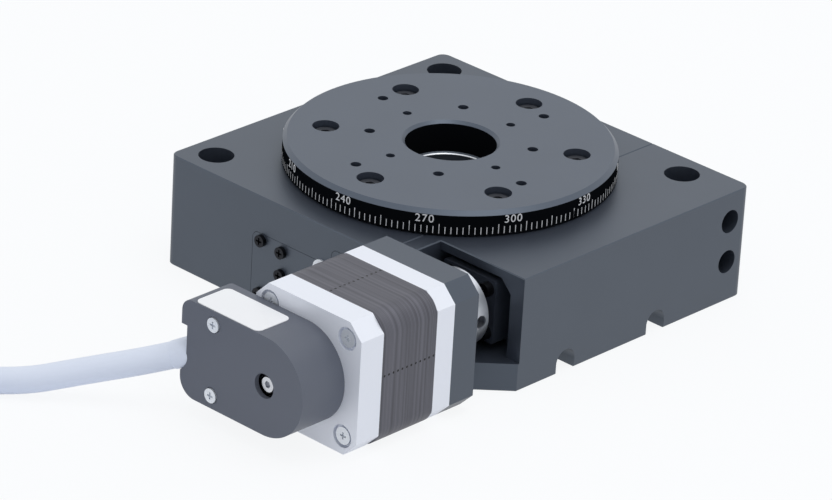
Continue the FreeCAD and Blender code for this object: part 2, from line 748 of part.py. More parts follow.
def worm_housing():
    """The smaller block: it holds the worm beside the wheel, with a notch for the shaft coupling."""
    body = new_body("worm_housing")
    front, back = "-block_half", "block_half"
    floor = [("seam_place", front), (RIGHT + " - notch_slant", front), (RIGHT, front + " + notch_slant"),
             (RIGHT, back), ("seam_place", back)]
    upper = [("seam_place", front), ("notch_left", front), ("notch_left", "-notch_back"),
             (RIGHT, "-notch_back"), (RIGHT, back), ("seam_place", back)]
    pad(body, sketch(body, "XY_Plane", [floor]), "floor_height")
    pad(body, sketch(body, "XY_Plane", [upper], offset="floor_height"), "block_height - floor_height")
    dress(body, "PartDesign::Fillet", "corner_radius",
          lambda edge: upright_at(edge, number(RIGHT), number("block_half")))
    dress(body, "PartDesign::Chamfer", "edge_break",
          lambda edge: level_edge(edge) and abs(edge.BoundBox.ZMax - number("floor_height")) > 0.01)
    wheel = sketch(body, "XY_Plane", circles=[("0", "0", "wheel_room")], offset="block_height")
    pocket(body, wheel, "block_height - bearing_top")
    flange = sketch(body, "XY_Plane", circles=[("0", "0", "flange_room")], offset="block_height")
    pocket(body, flange, "block_height - flange_room_floor")
    holes = [("mount_half", "mount_half", "mount_bore")]
    pocket(body, sketch(body, "XY_Plane", circles=holes, offset="block_height"), "mount_bore_depth")
    holes = [("mount_half", "mount_half", "mount_hole")]
    pocket(body, sketch(body, "XY_Plane", circles=holes, offset="block_height"), "block_height")
    holes = [("mount_half", "-mount_half", "mount_hole")]
    pocket(body, sketch(body, "XY_Plane", circles=holes, offset="floor_height"), "floor_height")
    half, top, low = "retainer_room_half", "axis_height + retainer_room_top", "floor_height"
    bevel = "retainer_room_corner"
    room = [("notch_left", low), (WORM_X + " + " + half, low), (WORM_X + " + " + half, top + " - " + bevel),
            (WORM_X + " + " + half + " - " + bevel, top), ("notch_left", top)]
    pocket(body, sketch(body, "XZ_Plane", [room], offset="notch_back"), "notch_back - retainer_back")
    for radius, reach in (("tunnel_radius", ""), ("worm_bearing_radius", " + worm_bearing_width"),
                          ("worm_race_outer", " + worm_bearing_width + 1.5")):
        bore = sketch(body, "XZ_Plane", circles=[(WORM_X, "axis_height", radius)], offset="notch_back")
        pocket(body, bore, "notch_back + worm_bearing_rear" + reach)
    side = "block_half - side_hole_inset"
    holes = [(side, "side_hole_low", "side_hole_radius"), (side, "side_hole_high", "side_hole_radius")]
    pocket(body, sketch(body, "YZ_Plane", circles=holes, offset=RIGHT), "side_hole_depth")
    for way in ("-", ""):
        y, r, z = way + "arch_spacing", "arch_radius", "arch_centre_height"
        arch = sketch(body, "YZ_Plane", [[(y + " - " + r, "-1"), (y + " + " + r, "-1"), (y + " + " + r, z),
                                          (y + " - " + r, z)]], offset=RIGHT)
        pocket(body, arch, "arch_depth")
        pocket(body, sketch(body, "YZ_Plane", circles=[(y, z, r)], offset=RIGHT), "arch_depth")
    clear = "medium_shank + screw_gap"
    low_holes = [(y, z, clear) for y, z in HOUSING_SCREWS_LOW]
    pocket(body, sketch(body, "YZ_Plane", circles=low_holes, offset=RIGHT), RIGHT + " - seam_place")
    high_holes = [(y, z, clear) for y, z in HOUSING_SCREWS_HIGH]
    depth = "notch_left - seam_place"
    pocket(body, sketch(body, "YZ_Plane", circles=high_holes, offset="notch_left"), depth)
    sinks = [(y, z, "medium_head + head_gap") for y, z in HOUSING_SCREWS_HIGH]
    pocket(body, sketch(body, "YZ_Plane", circles=sinks, offset="notch_left"), "notch_left - " + NOTCH_SEAT)
    threads = [(x, z, "medium_shank + thread_gap") for x, z in PLATE_SCREWS]
    pocket(body, sketch(body, "XZ_Plane", circles=threads, offset="block_half"), "plate_screw_reach")
    threads = [(x, z, "small_shank + thread_gap") for x, z in RETAINER_SCREWS]
    reach = "retainer_screw_length - retainer_front + retainer_back + 1"
    pocket(body, sketch(body, "XZ_Plane", circles=threads, offset="retainer_back"), reach)
    return body


def housing_screws():
    """Four screws that pull the two blocks together, from the foot arches and from the notch."""
    seats = [("(%s - arch_depth)" % RIGHT, HOUSING_SCREWS_LOW), (NOTCH_SEAT, HOUSING_SCREWS_HIGH)]
    screws = [cap_screw("X", "medium", seat, "%s - %s - 1" % (seat, SCREW_REACH), place)
              for seat, places in seats for place in places]
    return piece("housing_screws", group(screws))


# Table bearing, a ring of balls with contact at four points

def bearing_race(label, outer, inner):
    """One race of the table's bearing, grooved for the balls."""
    ring = tube("Z", outer, inner, "ledge_height", "bearing_top")
    middle = "(ledge_height + bearing_top) / 2"
    return piece(label, cut(ring, torus("ball_circle", "groove_radius", "0", "0", middle)))


def bearing_balls():
    """The balls, evenly round the ball circle."""
    balls = []
    for x, y in on_circle("ball_circle", SIZES["ball_count"]):
        ball = doc.addObject("Part::Sphere", "Ball")
        bind(ball, Radius="ball_radius")
        balls.append(move(ball, x, y, "(ledge_height + bearing_top) / 2"))
    return piece("bearing_balls", group(balls))


def bearing_cage():
    """The cage that keeps the balls apart."""
    middle = "((ledge_height + bearing_top) / 2)"
    ring = tube("Z", "ball_circle + cage_wall / 2", "ball_circle - cage_wall / 2",
                middle + " - cage_height / 2", middle + " + cage_height / 2")
    pockets = []
    for at in range(SIZES["ball_count"]):
        hole = doc.addObject("Part::Cylinder", "PocketHole")
        turn = 360.0 * at / SIZES["ball_count"]
        spin = FreeCAD.Rotation(FreeCAD.Vector(0, 0, 1), turn)
        hole.Placement.Rotation = spin.multiply(TURNS["X"])
        bind(hole, Radius="groove_radius + 0.05", Height="ball_circle + 3")
        pockets.append(move(hole, "0", "0", middle))
    return piece("bearing_cage", cut(ring, *pockets))


def bearing_clamp():
    """The ring that holds the outer race down, and its six countersunk screws."""
    top = "(bearing_top + clamp_thickness)"
    ring = tube("Z", "clamp_radius", "race_outer + running_gap", "bearing_top", top)
    tools, screws = [], []
    for place in on_circle("clamp_screw_circle", 6, SIZES["clamp_screw_turn"]):
        tools.append(rod("Z", "medium_shank + screw_gap", "bearing_top - 1", top, place))
        sink = top + " - (medium_head - medium_shank)"
        tools.append(cone("Z", "medium_shank + screw_gap", "medium_head + screw_gap", sink, top, place))
        head = cone("Z", "medium_shank", "medium_head", sink, top, place)
        shank = rod("Z", "medium_shank", "bearing_top - 6", sink + " + 0.05", place)
        screws.append(fuse(head, shank))
    piece("bearing_clamp_ring", cut(ring, *tools))
    piece("clamp_ring_screws", group(screws))


# Rotating table and what turns with it

def rotating_table():
    """The table: a disc with a bevelled rim, a centring spigot, and its grids of holes."""
    body = new_body("rotating_table")
    spigot = "table_bottom - spigot_depth"
    outline = [("bore_radius", spigot), ("spigot_radius", spigot), ("spigot_radius", "table_bottom"),
               ("table_radius", "table_bottom"), ("table_radius", "table_top - table_chamfer"),
               ("table_radius - table_chamfer", "table_top"), ("bore_radius + bore_chamfer", "table_top"),
               ("bore_radius", "table_top - bore_chamfer")]
    revolve(body, outline)
    holes = [turned("%d * grid_pitch" % a, "%d * grid_pitch" % b) + ("grid_hole",) for a, b in GRID_PLACES]
    pocket(body, sketch(body, "XY_Plane", circles=holes, offset="table_top"), "grid_depth")
    holes = [turned("%d * pin_offset" % a, "%d * pin_offset" % b) + ("pin_hole",) for a, b in SQUARE]
    pocket(body, sketch(body, "XY_Plane", circles=holes, offset="table_top"), "pin_depth")
    cuts = []
    for radius, depth in (("large_head + table_screw_room", "large_head_height + table_screw_sink"),
                          ("large_shank + screw_gap", "table_top - table_bottom")):
        holes = [turned("screw_circle", "0") + (radius,)]
        cuts.append(pocket(body, sketch(body, "XY_Plane", circles=holes, offset="table_top"), depth))
    repeat(body, cuts, 6)
    return body


def table_screw_places():
    return [turned("screw_circle * %.6f" % math.cos(math.pi * at / 3),
                   "screw_circle * %.6f" % math.sin(math.pi * at / 3)) for at in range(6)]


def table_screws():
    """Six socket head screws, sunk in the table and threaded in the hub's flange."""
    seat = "(table_top - large_head_height - table_screw_sink)"
    length = "%s - flange_bottom - 0.6" % seat
    return piece("table_screws", group([cap_screw("Z", "large", seat, length, place)
                                        for place in table_screw_places()]))


def hub():
    """The hollow hub: a flange under the table, a seat for the wheel and a barrel in the bearing."""
    body = new_body("hub")
    recess = "table_bottom - spigot_depth - 0.1"
    outline = [("hub_bore", "hub_bottom"), ("barrel_radius - seat_gap", "hub_bottom"),
               ("barrel_radius - seat_gap", "bearing_top"), ("hub_shoulder", "bearing_top"),
               ("hub_shoulder", WHEEL_LOW), ("wheel_bore - seat_gap", WHEEL_LOW),
               ("wheel_bore - seat_gap", WHEEL_HIGH), ("screw_circle - 3", WHEEL_HIGH),
               ("screw_circle - 3", "flange_bottom"), ("flange_radius", "flange_bottom"),
               ("flange_radius", "table_bottom"), ("spigot_radius + seat_gap", "table_bottom"),
               ("spigot_radius + seat_gap", recess), ("hub_bore + hub_chamfer", recess),
               ("hub_bore", recess + " - hub_chamfer")]
    revolve(body, outline)
    x, y = turned("screw_circle", "0")
    hole = sketch(body, "XY_Plane", circles=[(x, y, "large_shank + thread_gap")], offset="table_bottom")
    first = pocket(body, hole, "table_bottom - flange_bottom")
    x, y = turned("wheel_screw_circle", "0")
    hole = sketch(body, "XY_Plane", circles=[(x, y, "medium_shank + thread_gap")], offset=WHEEL_HIGH)
    second = pocket(body, hole, "wheel_screw_sink + wheel_screw_length - wheel_face + 0.3")
    second.Reversed = True
    repeat(body, [first, second], 6)
    return body


def hub_nut():
    """The nut on the hub's lower end, which clamps the inner race against the shoulder."""
    ring = tube("Z", "nut_radius", "barrel_radius", "hub_bottom", "ledge_height")
    depth = ("hub_bottom - 1", "hub_bottom + nut_slot_depth")
    width = ("-nut_slot_width / 2", "nut_slot_width / 2")
    reach = ("-nut_radius - 1", "nut_radius + 1")
    return piece("hub_nut", cut(ring, box(width, reach, depth), box(reach, width, depth)))


def wheel_outline(height, turn):
    """The toothed outline at one height, turned a little for the lean of the teeth."""
    module, count = number("gear_module"), int(SIZES["wheel_teeth"])
    middle = module * count / 2
    half = math.pi * module / 4 - number("tooth_backlash") / 2
    root, tip = middle - 1.25 * module, middle + module
    points = []
    for tooth in range(count):
        centre = 2 * math.pi * (tooth + 0.5) / count + turn
        for radius, side in ((root, -1), (tip, -1), (tip, 1), (root, 1)):
            flank = (half - (radius - middle) * math.tan(math.radians(20))) / radius
            angle = centre + side * flank
            points.append(FreeCAD.Vector(radius * math.cos(angle), radius * math.sin(angle), height))
    return Part.makePolygon(points + [points[0]])


def worm_wheel():
    """The wheel: a ruled solid between two toothed outlines, so its teeth lean by the worm's lead."""
    module, face = number("gear_module"), number("wheel_face")
    lead = math.atan(module / (2 * number("worm_radius")))
    lean = face * math.tan(lead) / (module * number("wheel_teeth") / 2)
    teeth = doc.addObject("Part::Feature", "WheelTeeth")
    outlines = [wheel_outline(side * face / 2, side * lean / 2) for side in (-1, 1)]
    teeth.Shape = Part.makeLoft(outlines, True, True)
    move(teeth, "0", "0", "axis_height")
    below = WHEEL_LOW + " - 1"
    tools = [rod("Z", "wheel_bore", below, WHEEL_HIGH + " + 1")]
    for place in wheel_screw_places():
        tools.append(rod("Z", "medium_shank + screw_gap", below, WHEEL_HIGH + " + 1", place))
        tools.append(rod("Z", "medium_head + screw_gap", below, WHEEL_LOW + " + wheel_screw_sink", place))
    tools.append(rod("Z", "magnet_radius + seat_gap", below, WHEEL_LOW + " + magnet_depth", magnet_place()))
    return piece("worm_wheel", cut(teeth, *tools))


def wheel_screw_places():
    return [turned(x, y) for x, y in on_circle("wheel_screw_circle", 6)]


def magnet_place():
    """The magnet stands over the sensor's finger when the table is at rest."""
    return ("sensor_place", "-sqrt(magnet_circle ^ 2 - sensor_place ^ 2)")


def wheel_screws():
    """Six screws from below, sunk in the wheel and threaded in the hub."""
    seat = "(%s + wheel_screw_sink)" % WHEEL_LOW
    return piece("wheel_screws", group([cap_screw("Z", "medium", seat, "wheel_screw_length", place, -1)
                                        for place in wheel_screw_places()]))


def home_magnet():
    magnet = rod("Z", "magnet_radius", WHEEL_LOW, WHEEL_LOW + " + magnet_depth", magnet_place())
    return piece("home_magnet", magnet)


# Worm shaft and its bearings

AXIS = (WORM_X, "axis_height")
WORM_SECTIONS = 16


def worm_section(turn, place):
    """The outline of the thread at one angle round the worm and one place along it."""
    module, middle = number("gear_module"), number("worm_radius")
    half = math.pi * module / 4 - number("tooth_backlash") / 2
    foot, tip = middle - 1.25 * module - 0.5, middle + module
    points = []
    for radius, side in ((foot, -1), (tip, -1), (tip, 1), (foot, 1)):
        wide = half - (radius - middle) * math.tan(math.radians(20))
        points.append(FreeCAD.Vector(radius * math.cos(turn), radius * math.sin(turn), place + side * wide))
    return Part.makePolygon(points + [points[0]])


def worm():
    """The worm: a single thread run round a core by short steps, with its shaft in one piece."""
    pitch, turns = math.pi * number("gear_module"), number("worm_turns")
    sections = []
    for at in range(int(turns * WORM_SECTIONS) + 1):
        along_axis = pitch * (at / WORM_SECTIONS - turns / 2)
        sections.append(worm_section(2 * math.pi * at / WORM_SECTIONS, along_axis))
    thread = doc.addObject("Part::Feature", "WormThread")
    thread.Shape = Part.makeLoft(sections, True, True)
    thread.Placement.Rotation = TURNS["Y"]
    move(thread, WORM_X, "0", "axis_height")
    half_core = "(pi * gear_module * worm_turns / 2 + 3)"
    core = doc.addObject("Part::Prism", "Core")
    core.Polygon = WORM_SECTIONS
    core.Placement.Rotation = TURNS["Y"]
    bind(core, Circumradius=WORM_ROOT, Height="2 * " + half_core)
    move(core, WORM_X, "-" + half_core, "axis_height")
    inside = "-worm_bearing_front + worm_bearing_width"
    rear_end = "worm_bearing_rear + worm_bearing_width + 0.5"
    shoulder = rod("Y", "shaft_shoulder", inside, "worm_bearing_rear", AXIS)
    journal = rod("Y", "shaft_radius - seat_gap", "-nose_start", rear_end, AXIS)
    nose = rod("Y", "nose_radius", "-coupling_gap_rear + jaw_gap", "-nose_start", AXIS)
    return piece("worm", fuse(core, thread, shoulder, journal, nose))


def ring_pair(outer, inner, starts, width, across):
    """Two equal rings along Y, each from its start."""
    return group([tube("Y", outer, inner, start, "%s + %s" % (start, width), across) for start in starts])


def worm_bearings():
    """The rings of the two shaft bearings; the outer ones stand still."""
    starts = ["-worm_bearing_front", "worm_bearing_rear"]
    piece("worm_bearing_outer_rings",
          ring_pair("worm_bearing_radius - seat_gap", "worm_race_outer", starts, "worm_bearing_width", AXIS))
    piece("worm_bearing_inner_rings",
          ring_pair("worm_race_inner", "shaft_radius", starts, "worm_bearing_width", AXIS))


def bearing_retainer():
    """The block at the notch's back that carries the front bearing of the worm shaft."""
    x = (WORM_X + " - retainer_width / 2", WORM_X + " + retainer_width / 2")
    z = ("axis_height - retainer_height / 2", "axis_height + retainer_height / 2")
    block = box(x, ("-retainer_front", "-retainer_back"), z)
    block = soften(block, "RetainerEdges", "Part::Chamfer", "edge_break", along_y)
    tools = [rod("Y", "retainer_bore", "-retainer_front - 1", "-retainer_back", AXIS)]
    tools.append(rod("Y", "worm_bearing_radius", "-worm_bearing_front", "-retainer_back + 1", AXIS))
    for place in RETAINER_SCREWS:
        tools.append(rod("Y", "small_shank + close_gap", "-retainer_front - 1", "-retainer_back + 1", place))
    return piece("bearing_retainer", cut(block, *tools))


def retainer_screws():
    screws = [cap_screw("Y", "small", "-retainer_front", "retainer_screw_length", place, -1)
              for place in RETAINER_SCREWS]
    return piece("retainer_screws", group(screws))


# Shaft coupling with jaws and a soft spider

def sector(radius, start, end, first, sweep):
    """Part of a disc about the worm's axis, between two angles."""
    thing = doc.addObject("Part::Cylinder", "Sector")
    thing.Placement.Rotation = TURNS["Y"].multiply(FreeCAD.Rotation(FreeCAD.Vector(0, 0, 1), first))
    bind(thing, Radius=radius, Height="(%s) - (%s)" % (end, start), Angle=sweep)
    return move(thing, WORM_X, start, "axis_height")


def coupling_hub(label, bore, start, end, jaw_start, jaw_end, first, screw_place):
    """A disc with two jaws and a set screw hole."""
    solids = [rod("Y", "coupling_radius", start, end, AXIS)]
    for angle in (first, first + 180):
        solids.append(sector("coupling_radius", jaw_start, jaw_end, angle, "jaw_sweep"))
    between = rod("Y", "jaw_inner", "-coupling_gap_front", "-coupling_gap_rear", AXIS)
    hole = rod("Y", bore, start + " - 1", end + " + 1", AXIS)
    reach = WORM_X + " + coupling_radius + 1"
    side = rod("X", "large_shank + seat_gap", WORM_X, reach, (screw_place, "axis_height"))
    return piece(label, cut(fuse(*solids), between, hole, side))


def coupling():
    """Two jaw hubs, the spider between them and their set screws."""
    inset = (90.0 - SIZES["jaw_sweep"]) / 2
    coupling_hub("coupling_hub_worm", "nose_radius", "-coupling_gap_rear", "-coupling_rear",
                 "-coupling_gap_front + jaw_gap", "-coupling_gap_rear", inset, "-set_screw_place")
    coupling_hub("coupling_hub_motor", "motor_shaft", "-coupling_front", "-coupling_gap_front",
                 "-coupling_gap_front", "-coupling_gap_rear - jaw_gap", inset + 90, "-set_screw_motor")
    ends = ("-coupling_gap_front", "-coupling_gap_rear")
    lobes = [sector("coupling_radius", *ends, 90 * at - inset, "90 - jaw_sweep") for at in range(4)]
    core = rod("Y", "jaw_inner", *ends, AXIS)
    hole = rod("Y", "nose_radius + 0.6", ends[0] + " - 1", ends[1] + " + 1", AXIS)
    piece("coupling_spider", cut(fuse(core, *lobes), hole))
    screws = []
    for place, bore in (("-set_screw_place", "nose_radius"), ("-set_screw_motor", "motor_shaft")):
        start, end = WORM_X + " + " + bore, WORM_X + " + set_screw_reach"
        screw = rod("X", "large_shank", start, end, (place, "axis_height"))
        screws.append(cut(screw, hexagon("X", "small_socket", end + " - 2", end, (place, "axis_height"))))
    piece("coupling_set_screws", group(screws))


# Motor and its mounting plate

MOTOR_SCREWS = [("(%s %s motor_screw_half)" % (WORM_X, sx), "(axis_height %s motor_screw_half)" % sz)
                for sx in "+-" for sz in "+-"]


def motor_block(front, back, size, kind="Part::Chamfer"):
    """A square block on the motor's axis with bevelled or rounded corners."""
    half = "motor_size / 2"
    block = box(("%s - %s" % (WORM_X, half), "%s + %s" % (WORM_X, half)), (front, back),
                ("axis_height - " + half, "axis_height + " + half))
    return soften(block, "MotorCorners", kind, size, along_y)


def bolt_holes(front, back, radius):
    return [rod("Y", radius, front, back, place) for place in MOTOR_SCREWS]


def motor_plate():
    """The plate between the blocks and the motor, with a room for the coupling."""
    block = motor_block(PLATE_FRONT, "-block_half", "motor_chamfer")
    tools = bolt_holes(PLATE_FRONT + " - 1", PLATE_FRONT + " + 6.5", "medium_shank + thread_gap")
    tools.append(rod("Y", "pilot_radius + seat_gap", PLATE_FRONT + " - 1", "-block_half + 1", AXIS))
    tools.append(rod("Y", "plate_bore", PLATE_FRONT + " + plate_wall", "-block_half + 1", AXIS))
    for place in PLATE_SCREWS:
        sink = PLATE_FRONT + " + medium_head_height + seat_gap"
        tools.append(rod("Y", "medium_head + head_gap", PLATE_FRONT + " - 1", sink, place))
        tools.append(rod("Y", "medium_shank + close_gap", sink, "-block_half + 1", place))
    return piece("motor_plate", cut(block, *tools))


def plate_screws():
    """Three screws that hold the plate on the blocks, under the motor."""
    seat = PLATE_FRONT + " + medium_head_height + seat_gap"
    length = "-block_half + plate_screw_reach - 1 - (%s)" % seat
    screws = [cap_screw("Y", "medium", seat, length, place, -1) for place in PLATE_SCREWS]
    return piece("plate_screws", group(screws))


def motor():
    """The stepper motor: end caps, laminated stack, rotor, shaft, bearings and long bolts."""
    cap = motor_block(FRONT_CAP_END, PLATE_FRONT, "motor_chamfer")
    boss = rod("Y", "pilot_radius", PLATE_FRONT, PLATE_FRONT + " + pilot_depth", AXIS)
    tools = bolt_holes(FRONT_CAP_END + " - 1", PLATE_FRONT + " + 1", "medium_shank + close_gap")
    tools.append(rod("Y", "shaft_hole", FRONT_CAP_END + " - 1", PLATE_FRONT + " + pilot_depth + 1", AXIS))
    front_seat = FRONT_CAP_END + " + motor_bearing_width"
    tools.append(rod("Y", "motor_bearing_outer", FRONT_CAP_END + " - 1", front_seat, AXIS))
    piece("motor_front_cap", cut(fuse(cap, boss), *tools))

    stack = motor_block(STACK_END, FRONT_CAP_END, "stack_corner", "Part::Fillet")
    tools = bolt_holes(STACK_END + " - 1", FRONT_CAP_END + " + 1", "medium_shank + close_gap")
    tools.append(rod("Y", "stator_bore", STACK_END + " - 1", FRONT_CAP_END + " + 1", AXIS))
    piece("motor_stator", cut(stack, *tools))

    cap = motor_block(MOTOR_END, STACK_END, "motor_chamfer")
    tools = bolt_holes(MOTOR_END + " - 1", STACK_END + " + 1", "medium_shank + close_gap")
    tools += bolt_holes(MOTOR_END + " - 1", MOTOR_END + " + screw_recess_depth", "screw_recess_radius")
    tools.append(rod("Y", "shaft_hole", MOTOR_END + " - 1", STACK_END + " + 1", AXIS))
    rear_seat = STACK_END + " - motor_bearing_width"
    tools.append(rod("Y", "motor_bearing_outer", rear_seat, STACK_END + " + 1", AXIS))
    for place in BASE_SCREWS:
        tools.append(rod("Y", "tiny_shank + thread_gap", MOTOR_END + " - 1", MOTOR_END + " + 5", place))
    piece("motor_rear_cap", cut(cap, *tools))

    seat = MOTOR_END + " + screw_recess_depth"
    length = "(%s + 6 - (%s))" % (PLATE_FRONT, seat)
    piece("motor_screws", group([pan_screw("medium", seat, length, place) for place in MOTOR_SCREWS]))
    piece("motor_rotor", tube("Y", "rotor_radius", "motor_shaft", STACK_END + " + rotor_gap",
                              FRONT_CAP_END + " - rotor_gap", AXIS))
    piece("motor_shaft", rod("Y", "motor_shaft", "-motor_shaft_end", "-coupling_gap_front - 0.6", AXIS))
    starts, width = [FRONT_CAP_END, rear_seat], "motor_bearing_width"
    piece("motor_bearing_outer_rings",
          ring_pair("motor_bearing_outer - seat_gap", "motor_race_outer", starts, width, AXIS))
    piece("motor_bearing_inner_rings", ring_pair("motor_race_inner", "motor_shaft", starts, width, AXIS))


# Encoder on the motor's rear

BASE_SCREWS = [(WORM_X, "(axis_height + encoder_base_screw)"),
               (WORM_X, "(axis_height - encoder_base_screw)")]
ENCODER_SCREWS = [("encoder_screw_x", "(axis_height + encoder_screw_z)"),
                  ("encoder_screw_x", "(axis_height - encoder_screw_z)")]


def encoder_block(front, back, inset):
    """The encoder's outline, a nose about the axis and a straight tail, drawn in by an inset."""
    radius = "encoder_radius - " + inset
    low, high = "axis_height - encoder_radius + " + inset, "axis_height + encoder_radius - " + inset
    tail = box(("encoder_end + " + inset, WORM_X), (front, back), (low, high))
    for corner, height, size in (("TopCorner", high, "end_corner_top"),
                                 ("LowCorner", low, "end_corner_bottom")):
        tail = soften(tail, corner, "Part::Fillet", size + " - " + inset,
                      lambda edge: along_y(edge) and edge.Vertexes[0].X < number(WORM_X) - 1
                      and abs(edge.Vertexes[0].Z - number(height)) < 0.01)
    return fuse(tail, rod("Y", radius, front, back, AXIS))


def end_notch(front, back, wall):
    """The notch in the encoder's left end, grown on its three sides by a wall."""
    return box(("encoder_end - 1", "encoder_end + end_notch_depth + " + wall), (front, back),
               ("end_notch_low - " + wall, "end_notch_high + " + wall))


def encoder():
    """The encoder's base, board, reader, code disc, cover and label."""
    base_front = MOTOR_END + " - encoder_base_thickness"
    inner = "(encoder_wall + 0.1)"
    plate = encoder_block(base_front, MOTOR_END, inner)
    inside_front = ENCODER_FRONT + " + encoder_wall"
    posts = [rod("Y", "post_radius", inside_front, base_front + " + 1", place) for place in ENCODER_SCREWS]
    below, above = base_front + " - 1", MOTOR_END + " + 1"
    tools = [rod("Y", "encoder_base_hole", below, above, AXIS)]
    tools += [rod("Y", "tiny_shank + close_gap", below, above, place) for place in BASE_SCREWS]
    tools += [rod("Y", "small_shank + thread_gap", inside_front + " - 1", inside_front + " + 6", place)
              for place in ENCODER_SCREWS]
    tools.append(end_notch(below, above, inner))
    piece("encoder_base", cut(fuse(plate, *posts), *tools))
    piece("encoder_base_screws", group([pan_screw("tiny", base_front, "encoder_base_thickness + 4", place)
                                        for place in BASE_SCREWS]))

    board_front = base_front + " - board_thickness"
    half = "(encoder_radius - encoder_wall - 5)"
    board_end = "encoder_end + end_notch_depth + encoder_wall + 1"
    board = box((board_end, "board_right"), (board_front, base_front),
                ("axis_height - " + half, "axis_height + " + half))
    posts = [rod("Y", "post_radius + 0.1", board_front + " - 1", base_front + " + 1", place)
             for place in ENCODER_SCREWS]
    piece("encoder_board", cut(board, *posts))
    depths = (board_front + " - reader_height", board_front)
    heights = ("axis_height - reader_half", "axis_height + reader_half")
    piece("encoder_reader", box(("reader_left", "reader_right"), depths, heights))

    disc = rod("Y", "disc_radius", "-disc_place - disc_thickness", "-disc_place", AXIS)
    collar = rod("Y", "disc_hub_radius", "-disc_nose_start", "-disc_place + 3", AXIS)
    nose = rod("Y", "disc_nose_radius", HUB_END, "-disc_nose_start", AXIS)
    hole = rod("Y", "motor_shaft", "-motor_shaft_end", "-disc_place + 4", AXIS)
    socket = hexagon("Y", "small_socket", HUB_END + " - 1", HUB_END + " + 1.6", AXIS)
    piece("encoder_disc", cut(fuse(disc, collar, nose), hole, socket))

    cover = encoder_block(ENCODER_FRONT, MOTOR_END, "0")
    room = encoder_block(inside_front, MOTOR_END + " + 1", "encoder_wall")
    room = cut(room, end_notch(inside_front + " - 1", MOTOR_END + " + 2", "encoder_wall"))
    before, seat = ENCODER_FRONT + " - 1", ENCODER_FRONT + " + encoder_screw_sink"
    cover = cut(cover, end_notch(before, MOTOR_END + " + 1", "0"))
    tools = [room, rod("Y", "encoder_hole", before, inside_front + " + 1", AXIS)]
    for place in ENCODER_SCREWS:
        tools.append(rod("Y", "small_shank + close_gap", before, inside_front + " + 1", place))
        tools.append(rod("Y", "small_head + head_gap", before, seat, place))
    tools.append(boot_shape("BootHole", 0.02, 4.0))
    piece("encoder_cover", cut(cover, *tools))
    piece("encoder_cover_screws", group([pan_screw("small", seat, "encoder_screw_length", place)
                                         for place in ENCODER_SCREWS]))
    top = "axis_height + encoder_radius"
    label = box(("label_left", "label_right"), ("-label_front", "-label_back"),
                (top, top + " + label_thickness"))
    piece("encoder_label", soften(label, "LabelCorners", "Part::Fillet", "label_corner",
                                  lambda edge: not level_edge(edge)))


# Covers, home sensor and ring lug on the -Y face

def face_cover(label, left, right, low, high, holes):
    """A flush cover in its rebate."""
    plate = box((left + " + cover_gap", right + " - cover_gap"), ("-block_half", COVER_SEAT),
                (low + " + cover_gap", high + " - cover_gap"))
    plate = soften(plate, "CoverCorners", "Part::Fillet", "cover_corner - cover_gap", along_y)
    tools = [rod("Y", "tiny_shank + close_gap", "-block_half - 1", COVER_SEAT + " + 1", place)
             for place in holes]
    return piece(label, cut(plate, *tools))


def covers():
    """The two covers with their screws, and the lug under one screw of the larger cover."""
    face_cover("switch_cover", "switch_left", "switch_right", "switch_low", "switch_high",
               SWITCH_SCREWS + SENSOR_SCREWS)
    face_cover("wiring_cover", "wiring_left", "wiring_right", "wiring_low", "wiring_high", WIRING_SCREWS)
    front, back = "-block_half - lug_thickness", "-block_half"
    lug_place = SWITCH_SCREWS[2]
    screws = [pan_screw("tiny", front, "lug_thickness + cover_screw_grip", lug_place)]
    for place in SWITCH_SCREWS + WIRING_SCREWS:
        if place != lug_place:
            screws.append(pan_screw("tiny", back, "cover_screw_grip", place))
    piece("cover_screws", group(screws))
    x, z = lug_place
    ring = rod("Y", "lug_radius", front, back, lug_place)
    tail = box((x, x + " + lug_tail"), (front, back), (z + " - lug_tail_width", z))
    hole = rod("Y", "tiny_shank + close_gap", front + " - 1", back + " + 1", lug_place)
    piece("ring_lug", cut(fuse(ring, tail), hole))


def home_sensor():
    """The sensor behind the cover, with a finger that reaches under the wheel."""
    sides = ("sensor_place - sensor_width / 2", "sensor_place + sensor_width / 2")
    block = box(sides, (COVER_SEAT, "-sensor_back"), ("sensor_low", "sensor_high"))
    finger = box(sides, ("-sensor_back - 1", "-sensor_tip"), ("finger_low", "finger_high"))
    holes = [rod("Y", "tiny_shank + thread_gap", COVER_SEAT + " - 1", COVER_SEAT + " + 6", place)
             for place in SENSOR_SCREWS]
    piece("home_sensor", cut(fuse(block, finger), *holes))
    piece("sensor_screws", group([pan_screw("tiny", "-block_half", "cover_screw_grip", place)
                                  for place in SENSOR_SCREWS]))


# Cable: boot, tube, coil and plug

def direction(first, second):
    gap = FreeCAD.Vector(*second) - FreeCAD.Vector(*first)
    return gap / gap.Length


def boot_shape(name, gap, extra):
    """The boot that holds the cable in the cover, wider and longer by what is given."""
    way = direction(CABLE_ROUTE[0], CABLE_ROUTE[1])
    start = FreeCAD.Vector(*CABLE_ROUTE[0]) - way * number("boot_length")
    thing = doc.addObject("Part::Cylinder", name)
    thing.Placement = FreeCAD.Placement(start, FreeCAD.Rotation(FreeCAD.Vector(0, 0, 1), way))
    bind(thing, Radius="boot_radius + %s" % gap, Height="boot_length + %s" % extra)
    return thing


